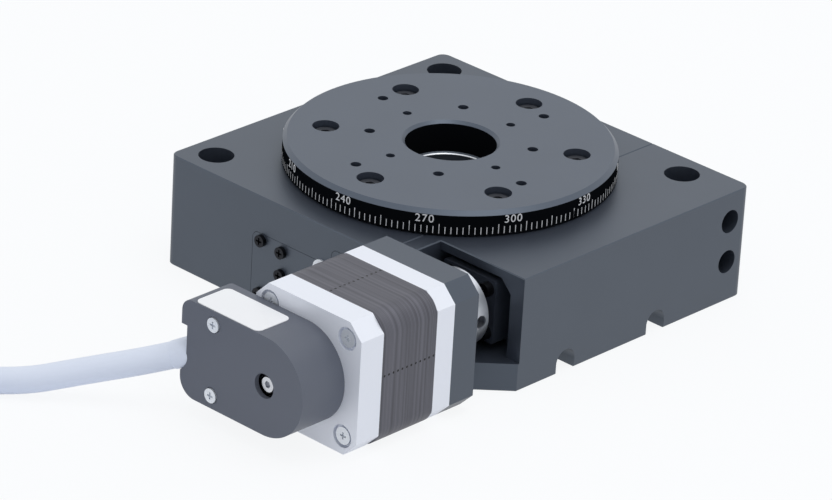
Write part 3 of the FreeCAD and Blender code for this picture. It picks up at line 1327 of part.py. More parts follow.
def cable_wire():
    """The line of the cable: straight runs joined by tangent arcs."""
    points = [FreeCAD.Vector(*point) for point in CABLE_ROUTE]
    edges, here = [], points[0]
    for before, corner, after in zip(points, points[1:], points[2:]):
        into, away = direction(before, corner), direction(corner, after)
        half = into.getAngle(away) / 2
        reach = 0.45 * min((corner - before).Length, (after - corner).Length)
        radius = reach / math.tan(half)
        print("cable bend radius %.1f, turn %.1f" % (radius, math.degrees(2 * half)))
        start, end = corner - into * reach, corner + away * reach
        inward = away - into
        centre = corner + inward / inward.Length * (radius / math.cos(half))
        middle = centre + (corner - centre) / (corner - centre).Length * radius
        edges += [Part.LineSegment(here, start).toShape(), Part.Arc(start, middle, end).toShape()]
        here = end
    edges.append(Part.LineSegment(here, points[-1]).toShape())
    return Part.Wire(edges)


def cable():
    """The cable's boot, its run to the coil, the coil's outer shape and the plug."""
    piece("cable_boot", boot_shape("Boot", 0, 0))
    radius = number("cable_radius")
    wire = cable_wire()
    ring = Part.Wire(Part.makeCircle(radius, FreeCAD.Vector(*CABLE_ROUTE[0]), direction(*CABLE_ROUTE[:2])))
    run = doc.addObject("Part::Feature", "CableRun")
    run.Shape = wire.makePipeShell([ring], True, False, 2)
    expected = math.pi * radius ** 2 * wire.Length
    print("cable run %.1f long, volume %.1f of %.1f" % (wire.Length, run.Shape.Volume, expected))
    piece("cable", run)

    way = direction(*CABLE_ROUTE[-2:])
    end = FreeCAD.Vector(*CABLE_ROUTE[-1])
    side = FreeCAD.Vector(-way.y, way.x, 0)
    centre = end + way * number("entry_stub") + side * number("coil_outer_turn")
    x, y = "%.3f" % centre.x, "%.3f" % centre.y
    ring = tube("Z", "coil_outer_turn + cable_radius", "coil_inner_turn - cable_radius",
                "0", "coil_layers * 2 * cable_radius", (x, y))
    entry = doc.addObject("Part::Cylinder", "EntryStub")
    entry.Placement = FreeCAD.Placement(end, FreeCAD.Rotation(FreeCAD.Vector(0, 0, 1), way))
    bind(entry, Radius="cable_radius", Height="entry_stub")
    top = "(coil_layers * 2 * cable_radius)"
    lead = torus("lead_turn", "cable_radius", x, y, top + " + cable_radius - lead_sink")
    lead.Label = "CoilLead"
    bind(lead, Angle3="lead_sweep", Placement__Rotation__Angle="lead_start")
    piece("cable_coil", fuse(ring, entry, lead))

    middle = "(%s - lead_turn)" % x
    sides = (middle + " - plug_width / 2", middle + " + plug_width / 2")
    nose_end = y + " - plug_length - plug_nose"
    hood = box(sides, (y + " - plug_length", y), (top, top + " + plug_height"))
    shell = box((sides[0] + " + plug_inset", sides[1] + " - plug_inset"),
                (nose_end, y + " - plug_length + 1"),
                (top + " + plug_step", top + " + plug_height - plug_step"))
    piece("cable_plug", fuse(hood, shell))


main_block()
worm_housing()
housing_screws()
bearing_race("bearing_outer_ring", "bearing_outer", "race_outer")
bearing_race("bearing_inner_ring", "race_inner", "barrel_radius")
bearing_balls()
bearing_cage()
bearing_clamp()
rotating_table()
table_screws()
hub()
hub_nut()
worm_wheel()
wheel_screws()
home_magnet()
worm()
worm_bearings()
bearing_retainer()
retainer_screws()
coupling()
motor_plate()
plate_screws()
motor()
encoder()
covers()
home_sensor()
cable()

doc.recompute()
for thing in doc.Objects:
    if "Invalid" in thing.State or "Error" in thing.State:
        raise RuntimeError("%s (%s) did not build: %s" % (thing.Name, thing.Label, thing.State))
os.makedirs("parts", exist_ok=True)
for thing in pieces:
    if thing.Shape.isNull() or not thing.Shape.isValid():
        raise RuntimeError(thing.Label + " is not a valid shape")
    thing.Shape.exportStep("parts/%s.step" % thing.Label)
print("%d sub-parts written" % len(pieces))
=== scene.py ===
import math
import bpy
from mathutils import Matrix, Vector


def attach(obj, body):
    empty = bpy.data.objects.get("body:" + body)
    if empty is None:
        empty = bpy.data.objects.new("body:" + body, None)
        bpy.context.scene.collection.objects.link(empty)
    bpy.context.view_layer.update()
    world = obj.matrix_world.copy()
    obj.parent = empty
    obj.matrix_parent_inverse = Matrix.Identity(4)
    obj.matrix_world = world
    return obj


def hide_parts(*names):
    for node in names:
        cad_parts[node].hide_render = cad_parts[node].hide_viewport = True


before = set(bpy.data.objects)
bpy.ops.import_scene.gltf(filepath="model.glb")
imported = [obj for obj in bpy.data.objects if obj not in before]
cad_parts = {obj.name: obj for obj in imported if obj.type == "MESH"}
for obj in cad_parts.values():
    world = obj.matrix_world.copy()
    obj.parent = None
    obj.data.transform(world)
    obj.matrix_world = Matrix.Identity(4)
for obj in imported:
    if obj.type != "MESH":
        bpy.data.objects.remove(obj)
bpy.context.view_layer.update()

# Looks of the motorised rotary stage. Everything is in metres, in the CAD model's frame.

MM = 0.001
TAU = 2 * math.pi


# Camera

VIEW_PLACE = (0.97433, -1.07422, 0.70421)
VIEW_RIGHT = Vector((0.71836, 0.69368, 0.05253))
VIEW_UP = Vector((-0.33539, 0.27919, 0.89976))
VIEW_LENS = 227.806
SENSOR_WIDTH = 36


def make_camera():
    """The photograph's view: a long lens from the front right, a little rolled."""
    turn = Matrix((VIEW_RIGHT, VIEW_UP, VIEW_RIGHT.cross(VIEW_UP))).transposed().to_4x4()
    bpy.ops.object.camera_add()
    camera = bpy.context.object
    camera.name = "camera"
    camera.matrix_world = Matrix.Translation(VIEW_PLACE) @ turn
    camera.data.lens = VIEW_LENS
    camera.data.sensor_width = SENSOR_WIDTH
    bpy.context.scene.camera = camera


make_camera()


# Materials

def colour(text):
    """A linear colour from an sRGB hex text."""
    parts = [int(text[at:at + 2], 16) / 255 for at in (1, 3, 5)]
    return tuple(part / 12.92 if part <= 0.04045 else ((part + 0.055) / 1.055) ** 2.4
                 for part in parts) + (1,)


def feed(owner, node, inputs):
    """Set a node's inputs; each is a value, another node's output, or a node for its first output."""
    for name, value in dict(inputs).items():
        if isinstance(value, bpy.types.Node):
            value = value.outputs[0]
        if isinstance(value, bpy.types.NodeSocket):
            owner.node_tree.links.new(value, node.inputs[name])
        else:
            node.inputs[name].default_value = value


def add(owner, kind, inputs=(), **settings):
    """Add a shader node to a material or world, with its settings and links."""
    made = owner.node_tree.nodes.new("ShaderNode" + kind)
    for name, value in settings.items():
        setattr(made, name, value)
    feed(owner, made, inputs)
    return made


def surface(name, **values):
    """A material with one Principled shader, whose constants sit on its own sockets."""
    material = bpy.data.materials.new(name)
    material.use_nodes = True
    shader = material.node_tree.nodes["Principled BSDF"]
    feed(material, shader, {key.replace("_", " "): value for key, value in values.items()})
    return material, shader


def grain(material, shader, size, height, stretch=(1, 1, 1)):
    """A fine bump of grains of a real size, stretched where the finish has a direction."""
    place = add(material, "TexCoord").outputs["Object"]
    lay = add(material, "Mapping", {"Vector": place, "Scale": stretch})
    noise = add(material, "TexNoise", {"Vector": lay, "Scale": 1 / size, "Detail": 3.0})
    bump = add(material, "Bump", {"Height": noise, "Strength": 0.5, "Distance": height})
    feed(material, shader, {"Normal": bump})


def patches(material, size, dark, light):
    """A colour that drifts between two tones over patches of a real size."""
    place = add(material, "TexCoord").outputs["Object"]
    noise = add(material, "TexNoise", {"Vector": place, "Scale": 1 / size, "Detail": 2.0})
    return add(material, "Mix", {0: noise, 6: colour(dark), 7: colour(light)}, data_type="RGBA").outputs[2]


def round_the_axis(material):
    """A point's distance from the turning axis, and its height."""
    x, y, z = add(material, "SeparateXYZ", {0: add(material, "TexCoord").outputs["Object"]}).outputs
    square = add(material, "Math", {0: y, 1: y}, operation="MULTIPLY")
    square = add(material, "Math", {0: x, 1: x, 2: square}, operation="MULTIPLY_ADD")
    return add(material, "Math", {0: square}, operation="SQRT"), z


def zone(material, radius_test, radius, height_test, height):
    """A mask that is 1 where the distance from the axis and the height both pass their tests."""
    away, up = round_the_axis(material)
    near = add(material, "Math", {0: away, 1: radius}, operation=radius_test)
    level = add(material, "Math", {0: up, 1: height}, operation=height_test)
    return add(material, "Math", {0: near, 1: level}, operation="MULTIPLY")


# Anodising gives back a cool light
SHEEN = (0.72, 0.84, 1.0, 1)


def anodised(name, stretch):
    """Black anodised aluminium: a dark base under a bluish sheen, with a fine machined grain."""
    material, shader = surface(name, Roughness=0.42, IOR=1.9, Specular_Tint=SHEEN)
    feed(material, shader, {"Base Color": patches(material, 18 * MM, "#262a33", "#2d323c")})
    grain(material, shader, 0.25 * MM, 0.01 * MM, stretch)
    return material


TABLE_EDGE, RIM_TOP = 50.6 * MM, 43.4 * MM
BORE_EDGE, BORE_TOP = 14.2 * MM, 43.7 * MM
TURNING_MARK = 0.5 * MM


def turned_table():
    """Black anodised aluminium, turned: the marks run round the axis. Rim and bore carry painted shade:
    near black and without sheen, for the dark room the rim reflects and the shade inside the bore.
    """
    material, shader = surface("anodised_aluminium_turned", Roughness=0.40, IOR=1.95, Specular_Tint=SHEEN)
    rim = zone(material, "GREATER_THAN", TABLE_EDGE, "LESS_THAN", RIM_TOP)
    bore = zone(material, "LESS_THAN", BORE_EDGE, "LESS_THAN", BORE_TOP)
    # Painted shade: rim and bore are coloured near black and lose their sheen, standing in for the dark
    # room the rim reflects and the shade in the bore
    painted_shade = add(material, "Math", {0: rim, 1: bore}, operation="MAXIMUM")
    face = patches(material, 20 * MM, "#2b303b", "#333945")
    tone = add(material, "Mix", {0: painted_shade, 6: face, 7: colour("#0d0f12")}, data_type="RGBA").outputs[2]
    shine = add(material, "Math", {0: painted_shade, 1: -0.5, 2: 0.5}, operation="MULTIPLY_ADD")
    away, _ = round_the_axis(material)
    marks = add(material, "Math", {0: away, 1: TAU / TURNING_MARK}, operation="MULTIPLY")
    marks = add(material, "Math", {0: marks}, operation="SINE")
    bump = add(material, "Bump", {"Height": marks, "Strength": 0.2, "Distance": 0.004 * MM})
    feed(material, shader, {"Base Color": tone, "Specular IOR Level": shine, "Normal": bump})
    return material


BEVEL_EDGE, BEVEL_FOOT = 13.66 * MM, 33.75 * MM


def bored_hub():
    """Black anodised aluminium, with a painted highlight: the bore's bevel is a thin bright metallic ring,
    standing in for the glint that the bevel catches.
    """
    material, shader = surface("anodised_aluminium_bored", Roughness=0.4, IOR=1.7, Specular_Tint=SHEEN)
    # Painted highlight: inside this mask the colour turns pale and the surface metallic, for the glint on
    # the bevel
    bevel = zone(material, "LESS_THAN", BEVEL_EDGE, "GREATER_THAN", BEVEL_FOOT)
    tone = add(material, "Mix", {0: bevel, 6: colour("#3a3f46"), 7: colour("#d6d9de")}, data_type="RGBA")
    feed(material, shader, {"Base Color": tone.outputs[2], "Metallic": bevel})
    return material


def metal(name, tone, roughness, size=0.3 * MM, height=0.004 * MM, metallic=1.0):
    """A metal of one tone, with a grain of a real size."""
    material, shader = surface(name, Base_Color=colour(tone), Metallic=metallic, Roughness=roughness)
    grain(material, shader, size, height)
    return material


def plastic(name, tone, roughness, size=0.2 * MM, height=0.01 * MM, **values):
    """A plastic, paint or film of one tone, with a grain of a real size."""
    material, shader = surface(name, Base_Color=colour(tone), Roughness=roughness, **values)
    grain(material, shader, size, height)
    return material


SHEET = 0.5 * MM
SHEET_PATCH = 0.9 * MM
DIMPLE, HALF_DIMPLE_STEP = 0.38 * MM, 0.915 * MM
DIMPLE_ROW_X, DIMPLE_ROW_Z, DIMPLE_ROW_START = 46.4 * MM, 24.0 * MM, 98.06 * MM


def laminations():
    """Steel sheets stacked and seen on their edges: fine uneven lines, and rows of small dimples, each a
    shallow dent coloured near black as painted shade in the pit.
    """
    material, shader = surface("stacked_laminations", Metallic=0.5, Roughness=0.5)
    place = add(material, "TexCoord").outputs["Object"]
    x, y, z = add(material, "SeparateXYZ", {0: place}).outputs
    wave = add(material, "Math", {0: y, 1: TAU / SHEET}, operation="MULTIPLY")
    wave = add(material, "Math", {0: wave}, operation="SINE")
    lay = add(material, "Mapping", {"Vector": place, "Scale": (0.01, 1, 0.01)})
    noise = add(material, "TexNoise", {"Vector": lay, "Scale": 1 / SHEET_PATCH, "Detail": 2.0})
    lines = add(material, "Math", {0: wave, 1: 0.10, 2: noise}, operation="MULTIPLY_ADD")
    ramp = add(material, "ValToRGB", {"Fac": lines})
    for stop, (at, tone) in zip(ramp.color_ramp.elements, ((0.25, "#4c4c53"), (0.75, "#6a6a73"))):
        stop.position = at
        stop.color = colour(tone)
    side = add(material, "Math", {0: z, 1: DIMPLE_ROW_Z}, operation="SUBTRACT")
    side = add(material, "Math", {0: side}, operation="ABSOLUTE")
    top = add(material, "Math", {0: x, 1: DIMPLE_ROW_X}, operation="SUBTRACT")
    top = add(material, "Math", {0: top}, operation="ABSOLUTE")
    across = add(material, "Math", {0: side, 1: top}, operation="MINIMUM")
    along = add(material, "Math", {0: y, 1: DIMPLE_ROW_START}, operation="ADD")
    along = add(material, "Math", {0: along, 1: HALF_DIMPLE_STEP}, operation="PINGPONG")
    square = add(material, "Math", {0: across, 1: across}, operation="MULTIPLY")
    square = add(material, "Math", {0: along, 1: along, 2: square}, operation="MULTIPLY_ADD")
    away = add(material, "Math", {0: square}, operation="SQRT")
    dimple_and_shade = add(material, "Math", {0: away, 1: DIMPLE}, operation="LESS_THAN")
    # Painted shade: each dimple is coloured near black for the shade in its small pit; its dent in the bump
    # is real
    tone = add(material, "Mix", {0: dimple_and_shade, 6: ramp, 7: colour("#17171a")}, data_type="RGBA").outputs[2]
    height = add(material, "Math", {0: lines, 1: dimple_and_shade}, operation="SUBTRACT")
    bump = add(material, "Bump", {"Height": height, "Strength": 0.4, "Distance": 0.03 * MM})
    feed(material, shader, {"Base Color": tone, "Normal": bump})
    return material


# Black anodised aluminium: upright marks on the milled blocks, rings on the table with painted shade on its
# rim and bore, and a painted highlight on the hub's bevel
ANODISED = anodised("anodised_aluminium_milled", (1, 1, 0.15))
ANODISED_TABLE = turned_table()
ANODISED_HUB = bored_hub()
# Steel, turned or ground: a bright mirror with a soft blur from the tool
BRIGHT_STEEL = metal("turned_steel", "#b6b9bd", 0.3)
BEARING_STEEL = metal("ground_bearing_steel", "#c2c4c8", 0.2)
# Steel screws in black oxide: dark satin, with a paler, less metallic copy for the table's screws
BLACK_STEEL = metal("black_oxide_steel", "#2a2b2f", 0.4)
TABLE_STEEL = metal("black_oxide_steel_paler", "#4d4f55", 0.45, metallic=0.6)
# Zinc plate: pale and a little cloudy
ZINC_STEEL = metal("zinc_plated_steel", "#e2e6ec", 0.4, metallic=0.6)
# Bronze, hobbed: a warm yellow, dull from the cutter
BRONZE = metal("hobbed_bronze", "#b08a4e", 0.35)
# Natural polyamide, moulded: a waxy cream
CAGE = plastic("natural_polyamide", "#cfc6aa", 0.5)
# Clear anodised aluminium, turned: a pale satin
COUPLING = metal("clear_anodised_aluminium", "#dfe3ea", 0.4)
# Polyurethane, cast: a deep rubbery red
SPIDER = plastic("cast_polyurethane", "#9c2b22", 0.4)
# Aluminium, die cast and tumbled: nearly white, with a coarse matt grain
CAP = metal("tumbled_cast_aluminium", "#e8ebf3", 0.55, 0.35 * MM, 0.02 * MM, metallic=0.45)
STACK = laminations()
# ABS, moulded in an etched tool: a matt charcoal
ENCODER = plastic("moulded_black_plastic", "#5d616c", 0.5, 0.15 * MM, 0.012 * MM,
                  Specular_Tint=(0.85, 0.92, 1.0, 1))
# Solder resist over glass board: a dark glossy green
BOARD = plastic("solder_resist", "#1c5b34", 0.4)
# Nickel plate: bright, smooth and a little cool
DISC = metal("nickel_disc_hub", "#c9cbd0", 0.25)
MAGNET = metal("nickel_plate", "#c5c6ca", 0.2)
# Vinyl film: a plain white with a low gloss
LABEL = plastic("white_label_film", "#f3f4f7", 0.45)
# Soft PVC, extruded: a light blue grey, even and satin
SHEATH = plastic("light_grey_sheath", "#e0e7f6", 0.45, 0.4 * MM, 0.01 * MM)
# ABS, moulded: a plain mid grey
HOOD = plastic("moulded_grey_hood", "#55585e", 0.5)
# Epoxy ink in an engraved scale: a matt white
INK = plastic("white_engraving_fill", "#e4e5e8", 0.5)
# Polyamide, moulded: nearly black, with a low gloss
TIE = plastic("black_tie", "#1b1b1d", 0.45)

FINISHES = {
    ANODISED: "main_block worm_housing motor_plate switch_cover wiring_cover bearing_retainer",
    ANODISED_TABLE: "rotating_table",
    ANODISED_HUB: "hub",
    BRIGHT_STEEL: "hub_nut bearing_clamp_ring worm motor_shaft motor_rotor",
    BEARING_STEEL: "bearing_outer_ring bearing_inner_ring bearing_balls worm_bearing_outer_rings "
                   "worm_bearing_inner_rings motor_bearing_outer_rings motor_bearing_inner_rings",
    BLACK_STEEL: "housing_screws clamp_ring_screws wheel_screws retainer_screws "
                 "coupling_set_screws plate_screws cover_screws sensor_screws",
    TABLE_STEEL: "table_screws",
    ZINC_STEEL: "motor_screws encoder_base_screws encoder_cover_screws ring_lug",
    BRONZE: "worm_wheel",
    CAGE: "bearing_cage",
    COUPLING: "coupling_hub_worm coupling_hub_motor",
    SPIDER: "coupling_spider",
    CAP: "motor_front_cap motor_rear_cap",
    STACK: "motor_stator",
    ENCODER: "encoder_base encoder_cover home_sensor encoder_reader",
    BOARD: "encoder_board",
    DISC: "encoder_disc",
    LABEL: "encoder_label",
    MAGNET: "home_magnet",
    SHEATH: "cable cable_coil cable_boot",
    HOOD: "cable_plug",
}
for finish, names in FINISHES.items():
    for name in names.split():
        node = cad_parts[name]
        node.data.materials.clear()
        node.data.materials.append(finish)


# Pieces by hand

SMOOTH_UNDER = math.radians(35)


def deselect():
    """Deselect everything, since an operator acts on all that is selected."""
    bpy.ops.object.select_all(action="DESELECT")


def keep(name, finish, body="base"):
    """Name the active object, settle its place into its mesh, give it its finish and a body."""
    made = bpy.context.object
    bpy.ops.object.transform_apply(location=True, rotation=True, scale=True)
    made.name = name
    made.data.materials.clear()
    made.data.materials.append(finish)
    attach(made, body)
    deselect()
    return made


def lathe(outline, vertices=48):
    """A turned form along +Z from its outline of heights and radii, extruded from a disc step by step."""
    deselect()
    height, radius = outline[0]
    bpy.ops.mesh.primitive_circle_add(vertices=vertices, radius=radius, fill_type="NGON",
                                      location=(0, 0, height))
    bpy.ops.object.mode_set(mode="EDIT")
    for after, wider in outline[1:]:
        bpy.ops.mesh.extrude_region_move(TRANSFORM_OT_translate={"value": (0, 0, after - height)})
        scale = wider / radius
        bpy.ops.transform.resize(value=(scale, scale, 1), center_override=(0, 0, after))
        height, radius = after, wider
    bpy.ops.mesh.select_all(action="SELECT")
    bpy.ops.mesh.normals_make_consistent(inside=False)
    bpy.ops.object.mode_set(mode="OBJECT")
    bpy.ops.object.shade_smooth_by_angle(angle=SMOOTH_UNDER)
    return bpy.context.object


def aim(made, start, way):
    """Turn a form made along +Z so that it runs from a start along a way."""
    turn = Vector(way).to_track_quat("Z", "Y").to_matrix().to_4x4()
    made.matrix_world = Matrix.Translation(start) @ turn


# Cable

# From the encoder down to the floor and to the coil
ROUTE = [(0.0140, -0.1212, 0.0182), (0.0047, -0.1284, 0.0140), (-0.0095, -0.1402, 0.0090),
         (-0.0240, -0.1550, 0.0040), (-0.0460, -0.1712, 0.0040)]
CABLE = 0.004
COIL_X, COIL_Y = -0.04083, -0.22950
COIL_START = 126.37
COIL_OUTER = 0.050
TURN_STEP = 0.00825
COIL_POINTS = 68
# Counted in turns: where the upper layer starts, where it ends, and where the lead meets the plug
LAYER_END = 2
LEAD_START = 3.45
LEAD_END = 4.149
LEAD = 0.033
LEAD_HEIGHT = 0.023


def ease(value, low, high):
    """A smooth step from 0 to 1 between two values."""
    share = min(max((value - low) / (high - low), 0), 1)
    return share * share * (3 - 2 * share)


def coil_radius(turns):
    """The coil's radius after some turns: inwards on the floor, then outwards on top of that layer."""
    if turns <= LAYER_END:
        return COIL_OUTER - TURN_STEP * turns
    return COIL_OUTER - TURN_STEP * LAYER_END + TURN_STEP * (min(turns, LEAD_START) - LAYER_END)


def coil_points():
    """Two turns inwards on the floor, one and a half outwards on them, and a lead over the top."""
    points = []
    for at in range(COIL_POINTS):
        turns = LEAD_END * at / (COIL_POINTS - 1)
        angle = math.radians(COIL_START) + TAU * turns
        radius = coil_radius(turns)
        radius += (LEAD - radius) * ease(turns, LEAD_START, LEAD_END)
        height = CABLE + 2 * CABLE * (ease(turns, 1.9, 2.15) + ease(turns, 3.4, 3.65))
        height += (LEAD_HEIGHT - 5 * CABLE) * ease(turns, 3.65, LEAD_END)
        points.append((COIL_X + radius * math.cos(angle), COIL_Y + radius * math.sin(angle), height))
    return points


def make_cable():
    """The cable as one smooth curve, from the encoder to its plug."""
    inside_plug = (COIL_X - LEAD, COIL_Y - 0.012, LEAD_HEIGHT)
    points = ROUTE + coil_points() + [inside_plug]
    curve = bpy.data.curves.new("cable_curve", "CURVE")
    curve.dimensions = "3D"
    spline = curve.splines.new("NURBS")
    spline.points.add(len(points) - 1)
    for point, at in zip(spline.points, points):
        point.co = (*at, 1)
    spline.order_u = 3
    spline.use_endpoint_u = True
    curve.resolution_u = 8
    curve.bevel_depth = CABLE
    curve.bevel_resolution = 6
    curve.use_fill_caps = True
    made = bpy.data.objects.new("cable_sheath", curve)
    bpy.context.scene.collection.objects.link(made)
    curve.materials.append(SHEATH)
    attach(made, "base")
    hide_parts("cable", "cable_coil")
    return made


BOOT = [(0, 4.5), (5.6, 4.5), (7.0, 4.45), (9.0, 4.35), (11.0, 4.2), (11.4, 4.05)]
BOOT_INSIDE = 6 * MM


def make_boot():
    """The tapered strain relief where the cable leaves the encoder, started inside its wall."""
    way = (Vector(ROUTE[1]) - Vector(ROUTE[0])).normalized()
    made = lathe([(height * MM, radius * MM) for height, radius in BOOT])
    aim(made, Vector(ROUTE[0]) - way * BOOT_INSIDE, way)
    made = keep("strain_relief", SHEATH)
    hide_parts("cable_boot")


def soft_box(low, high, bevel, segments=3):
    """A block between two corners with its edges rounded in edit mode."""
    deselect()
    low, high = Vector(low), Vector(high)
    bpy.ops.mesh.primitive_cube_add(size=1, location=(low + high) / 2)
    bpy.ops.transform.resize(value=tuple(high - low))
    bpy.ops.object.transform_apply(location=True, rotation=False, scale=True)
    bpy.ops.object.mode_set(mode="EDIT")
    bpy.ops.mesh.bevel(offset=bevel, segments=segments, affect="EDGES")
    bpy.ops.object.mode_set(mode="OBJECT")
    bpy.ops.object.shade_smooth_by_angle(angle=SMOOTH_UNDER)
    return bpy.context.object


PLUG_WIDTH, PLUG_LENGTH, PLUG_HEIGHT = 0.032, 0.042, 0.014
TAPER_LENGTH = 0.026
# What is left of the hood's width and height where the cable enters it
TAPER_WIDTH, TAPER_HEIGHT = 0.46, 0.86
FLANGE_HALF_WIDTH, FLANGE_HALF_HEIGHT = 0.0155, 0.0055
SHELL_HALF_WIDTH, SHELL_HALF_HEIGHT = 0.0085, 0.0040
SCREW_SIDE = 0.0125
THUMBSCREW = [(0, 1.3), (4, 1.3), (4.1, 2.2), (8.6, 2.2), (9, 1.9), (9.2, 1.4), (44, 1.4), (46.4, 1.0),
              (46.8, 0.8)]


def make_hood(x, y, z):
    """The plug's hood: a block whose back half narrows to the cable, with soft edges."""
    deselect()
    bpy.ops.mesh.primitive_cube_add(size=1, location=(x, y - PLUG_LENGTH / 2, z))
    bpy.ops.transform.resize(value=(PLUG_WIDTH, PLUG_LENGTH, PLUG_HEIGHT))
    bpy.ops.object.transform_apply(location=True, rotation=False, scale=True)
    hood = bpy.context.object
    bpy.ops.object.mode_set(mode="EDIT")
    bpy.ops.mesh.bisect(plane_co=(0, y - TAPER_LENGTH, 0), plane_no=(0, 1, 0))
    bpy.ops.mesh.select_all(action="DESELECT")
    bpy.ops.object.mode_set(mode="OBJECT")
    for face in hood.data.polygons:
        face.select = face.normal.y > 0.9
    bpy.ops.object.mode_set(mode="EDIT")
    bpy.ops.transform.resize(value=(TAPER_WIDTH, 1, TAPER_HEIGHT), center_override=(x, y, z))
    bpy.ops.mesh.select_all(action="SELECT")
    bpy.ops.mesh.bevel(offset=0.0014, segments=3, affect="EDGES")
    bpy.ops.object.mode_set(mode="OBJECT")
    bpy.ops.object.shade_smooth_by_angle(angle=SMOOTH_UNDER)
    return keep("plug_hood", HOOD)


def make_plug():
    """The plug on the coil: its hood, a metal flange and shell, and two thumbscrews."""
    x, y, z = COIL_X - LEAD, COIL_Y, LEAD_HEIGHT
    hood = make_hood(x, y, z)
    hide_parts("cable_plug")
    face = y - PLUG_LENGTH
    soft_box((x - FLANGE_HALF_WIDTH, face - 0.0012, z - FLANGE_HALF_HEIGHT),
             (x + FLANGE_HALF_WIDTH, face + 0.001, z + FLANGE_HALF_HEIGHT), 0.0008)
    flange = keep("plug_flange", ZINC_STEEL)
    soft_box((x - SHELL_HALF_WIDTH, face - 0.006, z - SHELL_HALF_HEIGHT),
             (x + SHELL_HALF_WIDTH, face, z + SHELL_HALF_HEIGHT), 0.0022, 4)
    shell = keep("plug_shell", ZINC_STEEL)
    pieces = [hood, flange, shell]
    for side, name in ((-1, "left"), (1, "right")):
        made = lathe([(height * MM, radius * MM) for height, radius in THUMBSCREW], 24)
        aim(made, (x + side * SCREW_SIDE, y + 0.0005, z), (0, -1, 0))
        pieces.append(keep("plug_thumbscrew_" + name, ZINC_STEEL))
    return pieces


TIE_ANGLES = (10, 60, 268)
TIE_WIDTH, TIE_WALL = 0.0042, 0.0009
# From a cable's middle to the tie's inner face, and the inner face's lowest level
TIE_REACH = 0.0042
TIE_FLOOR = 0.00095
# The share of its turn for which the last turn stays on the second layer
TOP_TURN_LEVEL = 0.4


def make_ties():
    """Three ties drawn tight round the coil's two lower layers, clear of the plug."""
    pieces = []
    for at, angle in enumerate(TIE_ANGLES, 1):
        share = (angle - COIL_START) % 360 / 360
        held = [(coil_radius(share), CABLE), (coil_radius(1 + share), CABLE),
                (coil_radius(2 + share), 3 * CABLE)]
        if share < TOP_TURN_LEVEL:
            held.append((coil_radius(3 + share), 3 * CABLE))
        deselect()
        bpy.ops.mesh.primitive_cylinder_add(vertices=40, radius=1, depth=TIE_WIDTH, end_fill_type="NOTHING",
                                            rotation=(math.pi / 2, 0, 0))
        bpy.ops.object.transform_apply(location=False, rotation=True, scale=False)
        band = bpy.context.object
        for vertex in band.data.vertices:
            x, z = vertex.co.x, vertex.co.z
            radius, height = max(held, key=lambda place: place[0] * x + place[1] * z)
            vertex.co.x = radius + TIE_REACH * x
            vertex.co.z = max(height + TIE_REACH * z, TIE_FLOOR)
        modifier = band.modifiers.new("thickness", "SOLIDIFY")
        modifier.thickness = TIE_WALL
        modifier.offset = 1
        bpy.ops.object.modifier_apply(modifier=modifier.name)
        turn = Matrix.Rotation(math.radians(angle), 4, "Z")
        band.matrix_world = Matrix.Translation((COIL_X, COIL_Y, 0)) @ turn
        bpy.ops.object.shade_smooth_by_angle(angle=SMOOTH_UNDER)
        band = keep("coil_tie_%d" % at, TIE)
        pieces.append(band)
    return pieces


cable = make_cable()
make_boot()
plug = make_plug()
ties = make_ties()


# Degree scale on the table's rim

RIM = 0.051
SCALE_TURN = 35
TICK_FOOT, TICK_TOP, LONG_TICK_TOP = 0.03745, 0.0397, 0.0405
TICK_SUNK, TICK_THICK = 0.00005, 0.00008
NUMBER_LEVEL, NUMBER_SIZE, NUMBER_THICK = 0.0419, 0.0035, 0.00006


def make_ticks(name, step, top, width):
    """Upright ticks round the rim, every so many degrees: one strip, spun about the table's axis."""
    deselect()
    bpy.ops.mesh.primitive_plane_add(size=1, location=(RIM - TICK_SUNK, 0, (TICK_FOOT + top) / 2),
                                     rotation=(0, math.pi / 2, 0))
    bpy.ops.transform.resize(value=(1, width, top - TICK_FOOT))
    bpy.ops.object.transform_apply(location=True, rotation=True, scale=True)
    bpy.ops.object.mode_set(mode="EDIT")
    bpy.ops.mesh.extrude_region_move(TRANSFORM_OT_translate={"value": (TICK_THICK, 0, 0)})
    bpy.ops.mesh.select_all(action="SELECT")
    count = 360 // step
    bpy.ops.mesh.spin(steps=count - 1, dupli=True, angle=TAU * (count - 1) / count, center=(0, 0, 0),
                      axis=(0, 0, 1))
    bpy.ops.object.mode_set(mode="OBJECT")
    return keep(name, INK, "table")


def make_numbers():
    """The scale's numbers, every 30 degrees, rising counter-clockwise seen from above."""
    for value in range(0, 360, 30):
        deselect()
        bpy.ops.object.text_add()
        made = bpy.context.object
        made.data.body = str(value)
        made.data.align_x = "CENTER"
        made.data.align_y = "CENTER"
        made.data.size = NUMBER_SIZE
        made.data.space_character = 1.15
        made.data.extrude = NUMBER_THICK
        bpy.ops.object.convert(target="MESH")
        made = bpy.context.object
        turn = Matrix.Rotation(math.radians(value + SCALE_TURN) + math.pi / 2, 4, "Z")
        upright = Matrix.Rotation(math.pi / 2, 4, "X")
        made.matrix_world = turn @ Matrix.Translation((0, -RIM, NUMBER_LEVEL)) @ upright
        keep("scale_number_%d" % value, INK, "table")


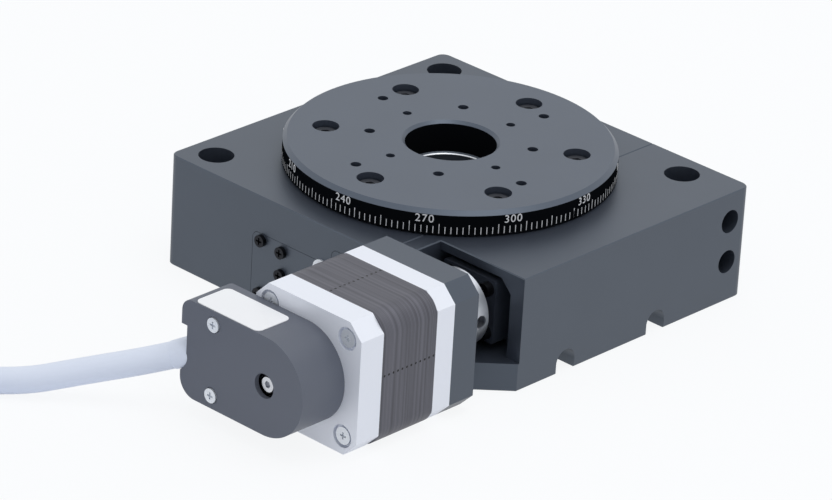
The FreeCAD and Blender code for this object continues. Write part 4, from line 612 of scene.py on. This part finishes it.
make_ticks("scale_ticks", 2, TICK_TOP, 0.00023)
make_ticks("scale_long_ticks", 10, LONG_TICK_TOP, 0.00024)
make_numbers()


# Floor and light

FLOOR_GLOW = 0.9
ROOM_LIGHT, ROOM_SEEN = 0.70, 1.0
LAMP_PLACE = (0.35, 0.1, 1.5)


def seen_straight(owner):
    """1 for what the camera sees by itself, in a reflection or through a clear piece, else 0."""
    path = add(owner, "LightPath").outputs
    seen = add(owner, "Math", {0: path["Is Camera Ray"], 1: path["Is Glossy Ray"]}, operation="MAXIMUM")
    return add(owner, "Math", {0: seen, 1: path["Is Transmission Ray"]}, operation="MAXIMUM")


def make_floor():
    """A pale floor that shows as near white and keeps the object's shadow."""
    bpy.ops.mesh.primitive_plane_add(size=8)
    floor = bpy.context.object
    floor.name = "floor"
    material = bpy.data.materials.new("pale_floor")
    material.use_nodes = True
    nodes = material.node_tree.nodes
    nodes.remove(nodes["Principled BSDF"])
    paper = add(material, "BsdfDiffuse", {"Color": colour("#f2f5fb")})
    glow = add(material, "Emission", {"Color": colour("#fdfeff"), "Strength": 1.0})
    share = add(material, "Math", {0: seen_straight(material), 1: FLOOR_GLOW}, operation="MULTIPLY")
    mix = add(material, "MixShader", {0: share, 1: paper, 2: glow})
    feed(material, nodes["Material Output"], {"Surface": mix})
    floor.data.materials.append(material)


def make_light():
    """An even white room, with one large soft lamp overhead."""
    world = bpy.data.worlds.new("room")
    bpy.context.scene.world = world
    world.use_nodes = True
    level = add(world, "Math", {0: seen_straight(world), 1: ROOM_SEEN - ROOM_LIGHT, 2: ROOM_LIGHT},
                operation="MULTIPLY_ADD")
    room = {"Color": (0.97, 0.985, 1.0, 1), "Strength": level}
    feed(world, world.node_tree.nodes["Background"], room)
    bpy.ops.object.light_add(type="AREA", location=LAMP_PLACE)
    lamp = bpy.context.object
    lamp.name = "overhead_lamp"
    lamp.data.shape = "DISK"
    lamp.data.size = 1.1
    lamp.data.energy = 7.0
    lamp.rotation_euler = Vector(LAMP_PLACE).to_track_quat("Z", "Y").to_euler()


make_floor()
make_light()

bpy.context.scene.view_settings.view_transform = "Standard"
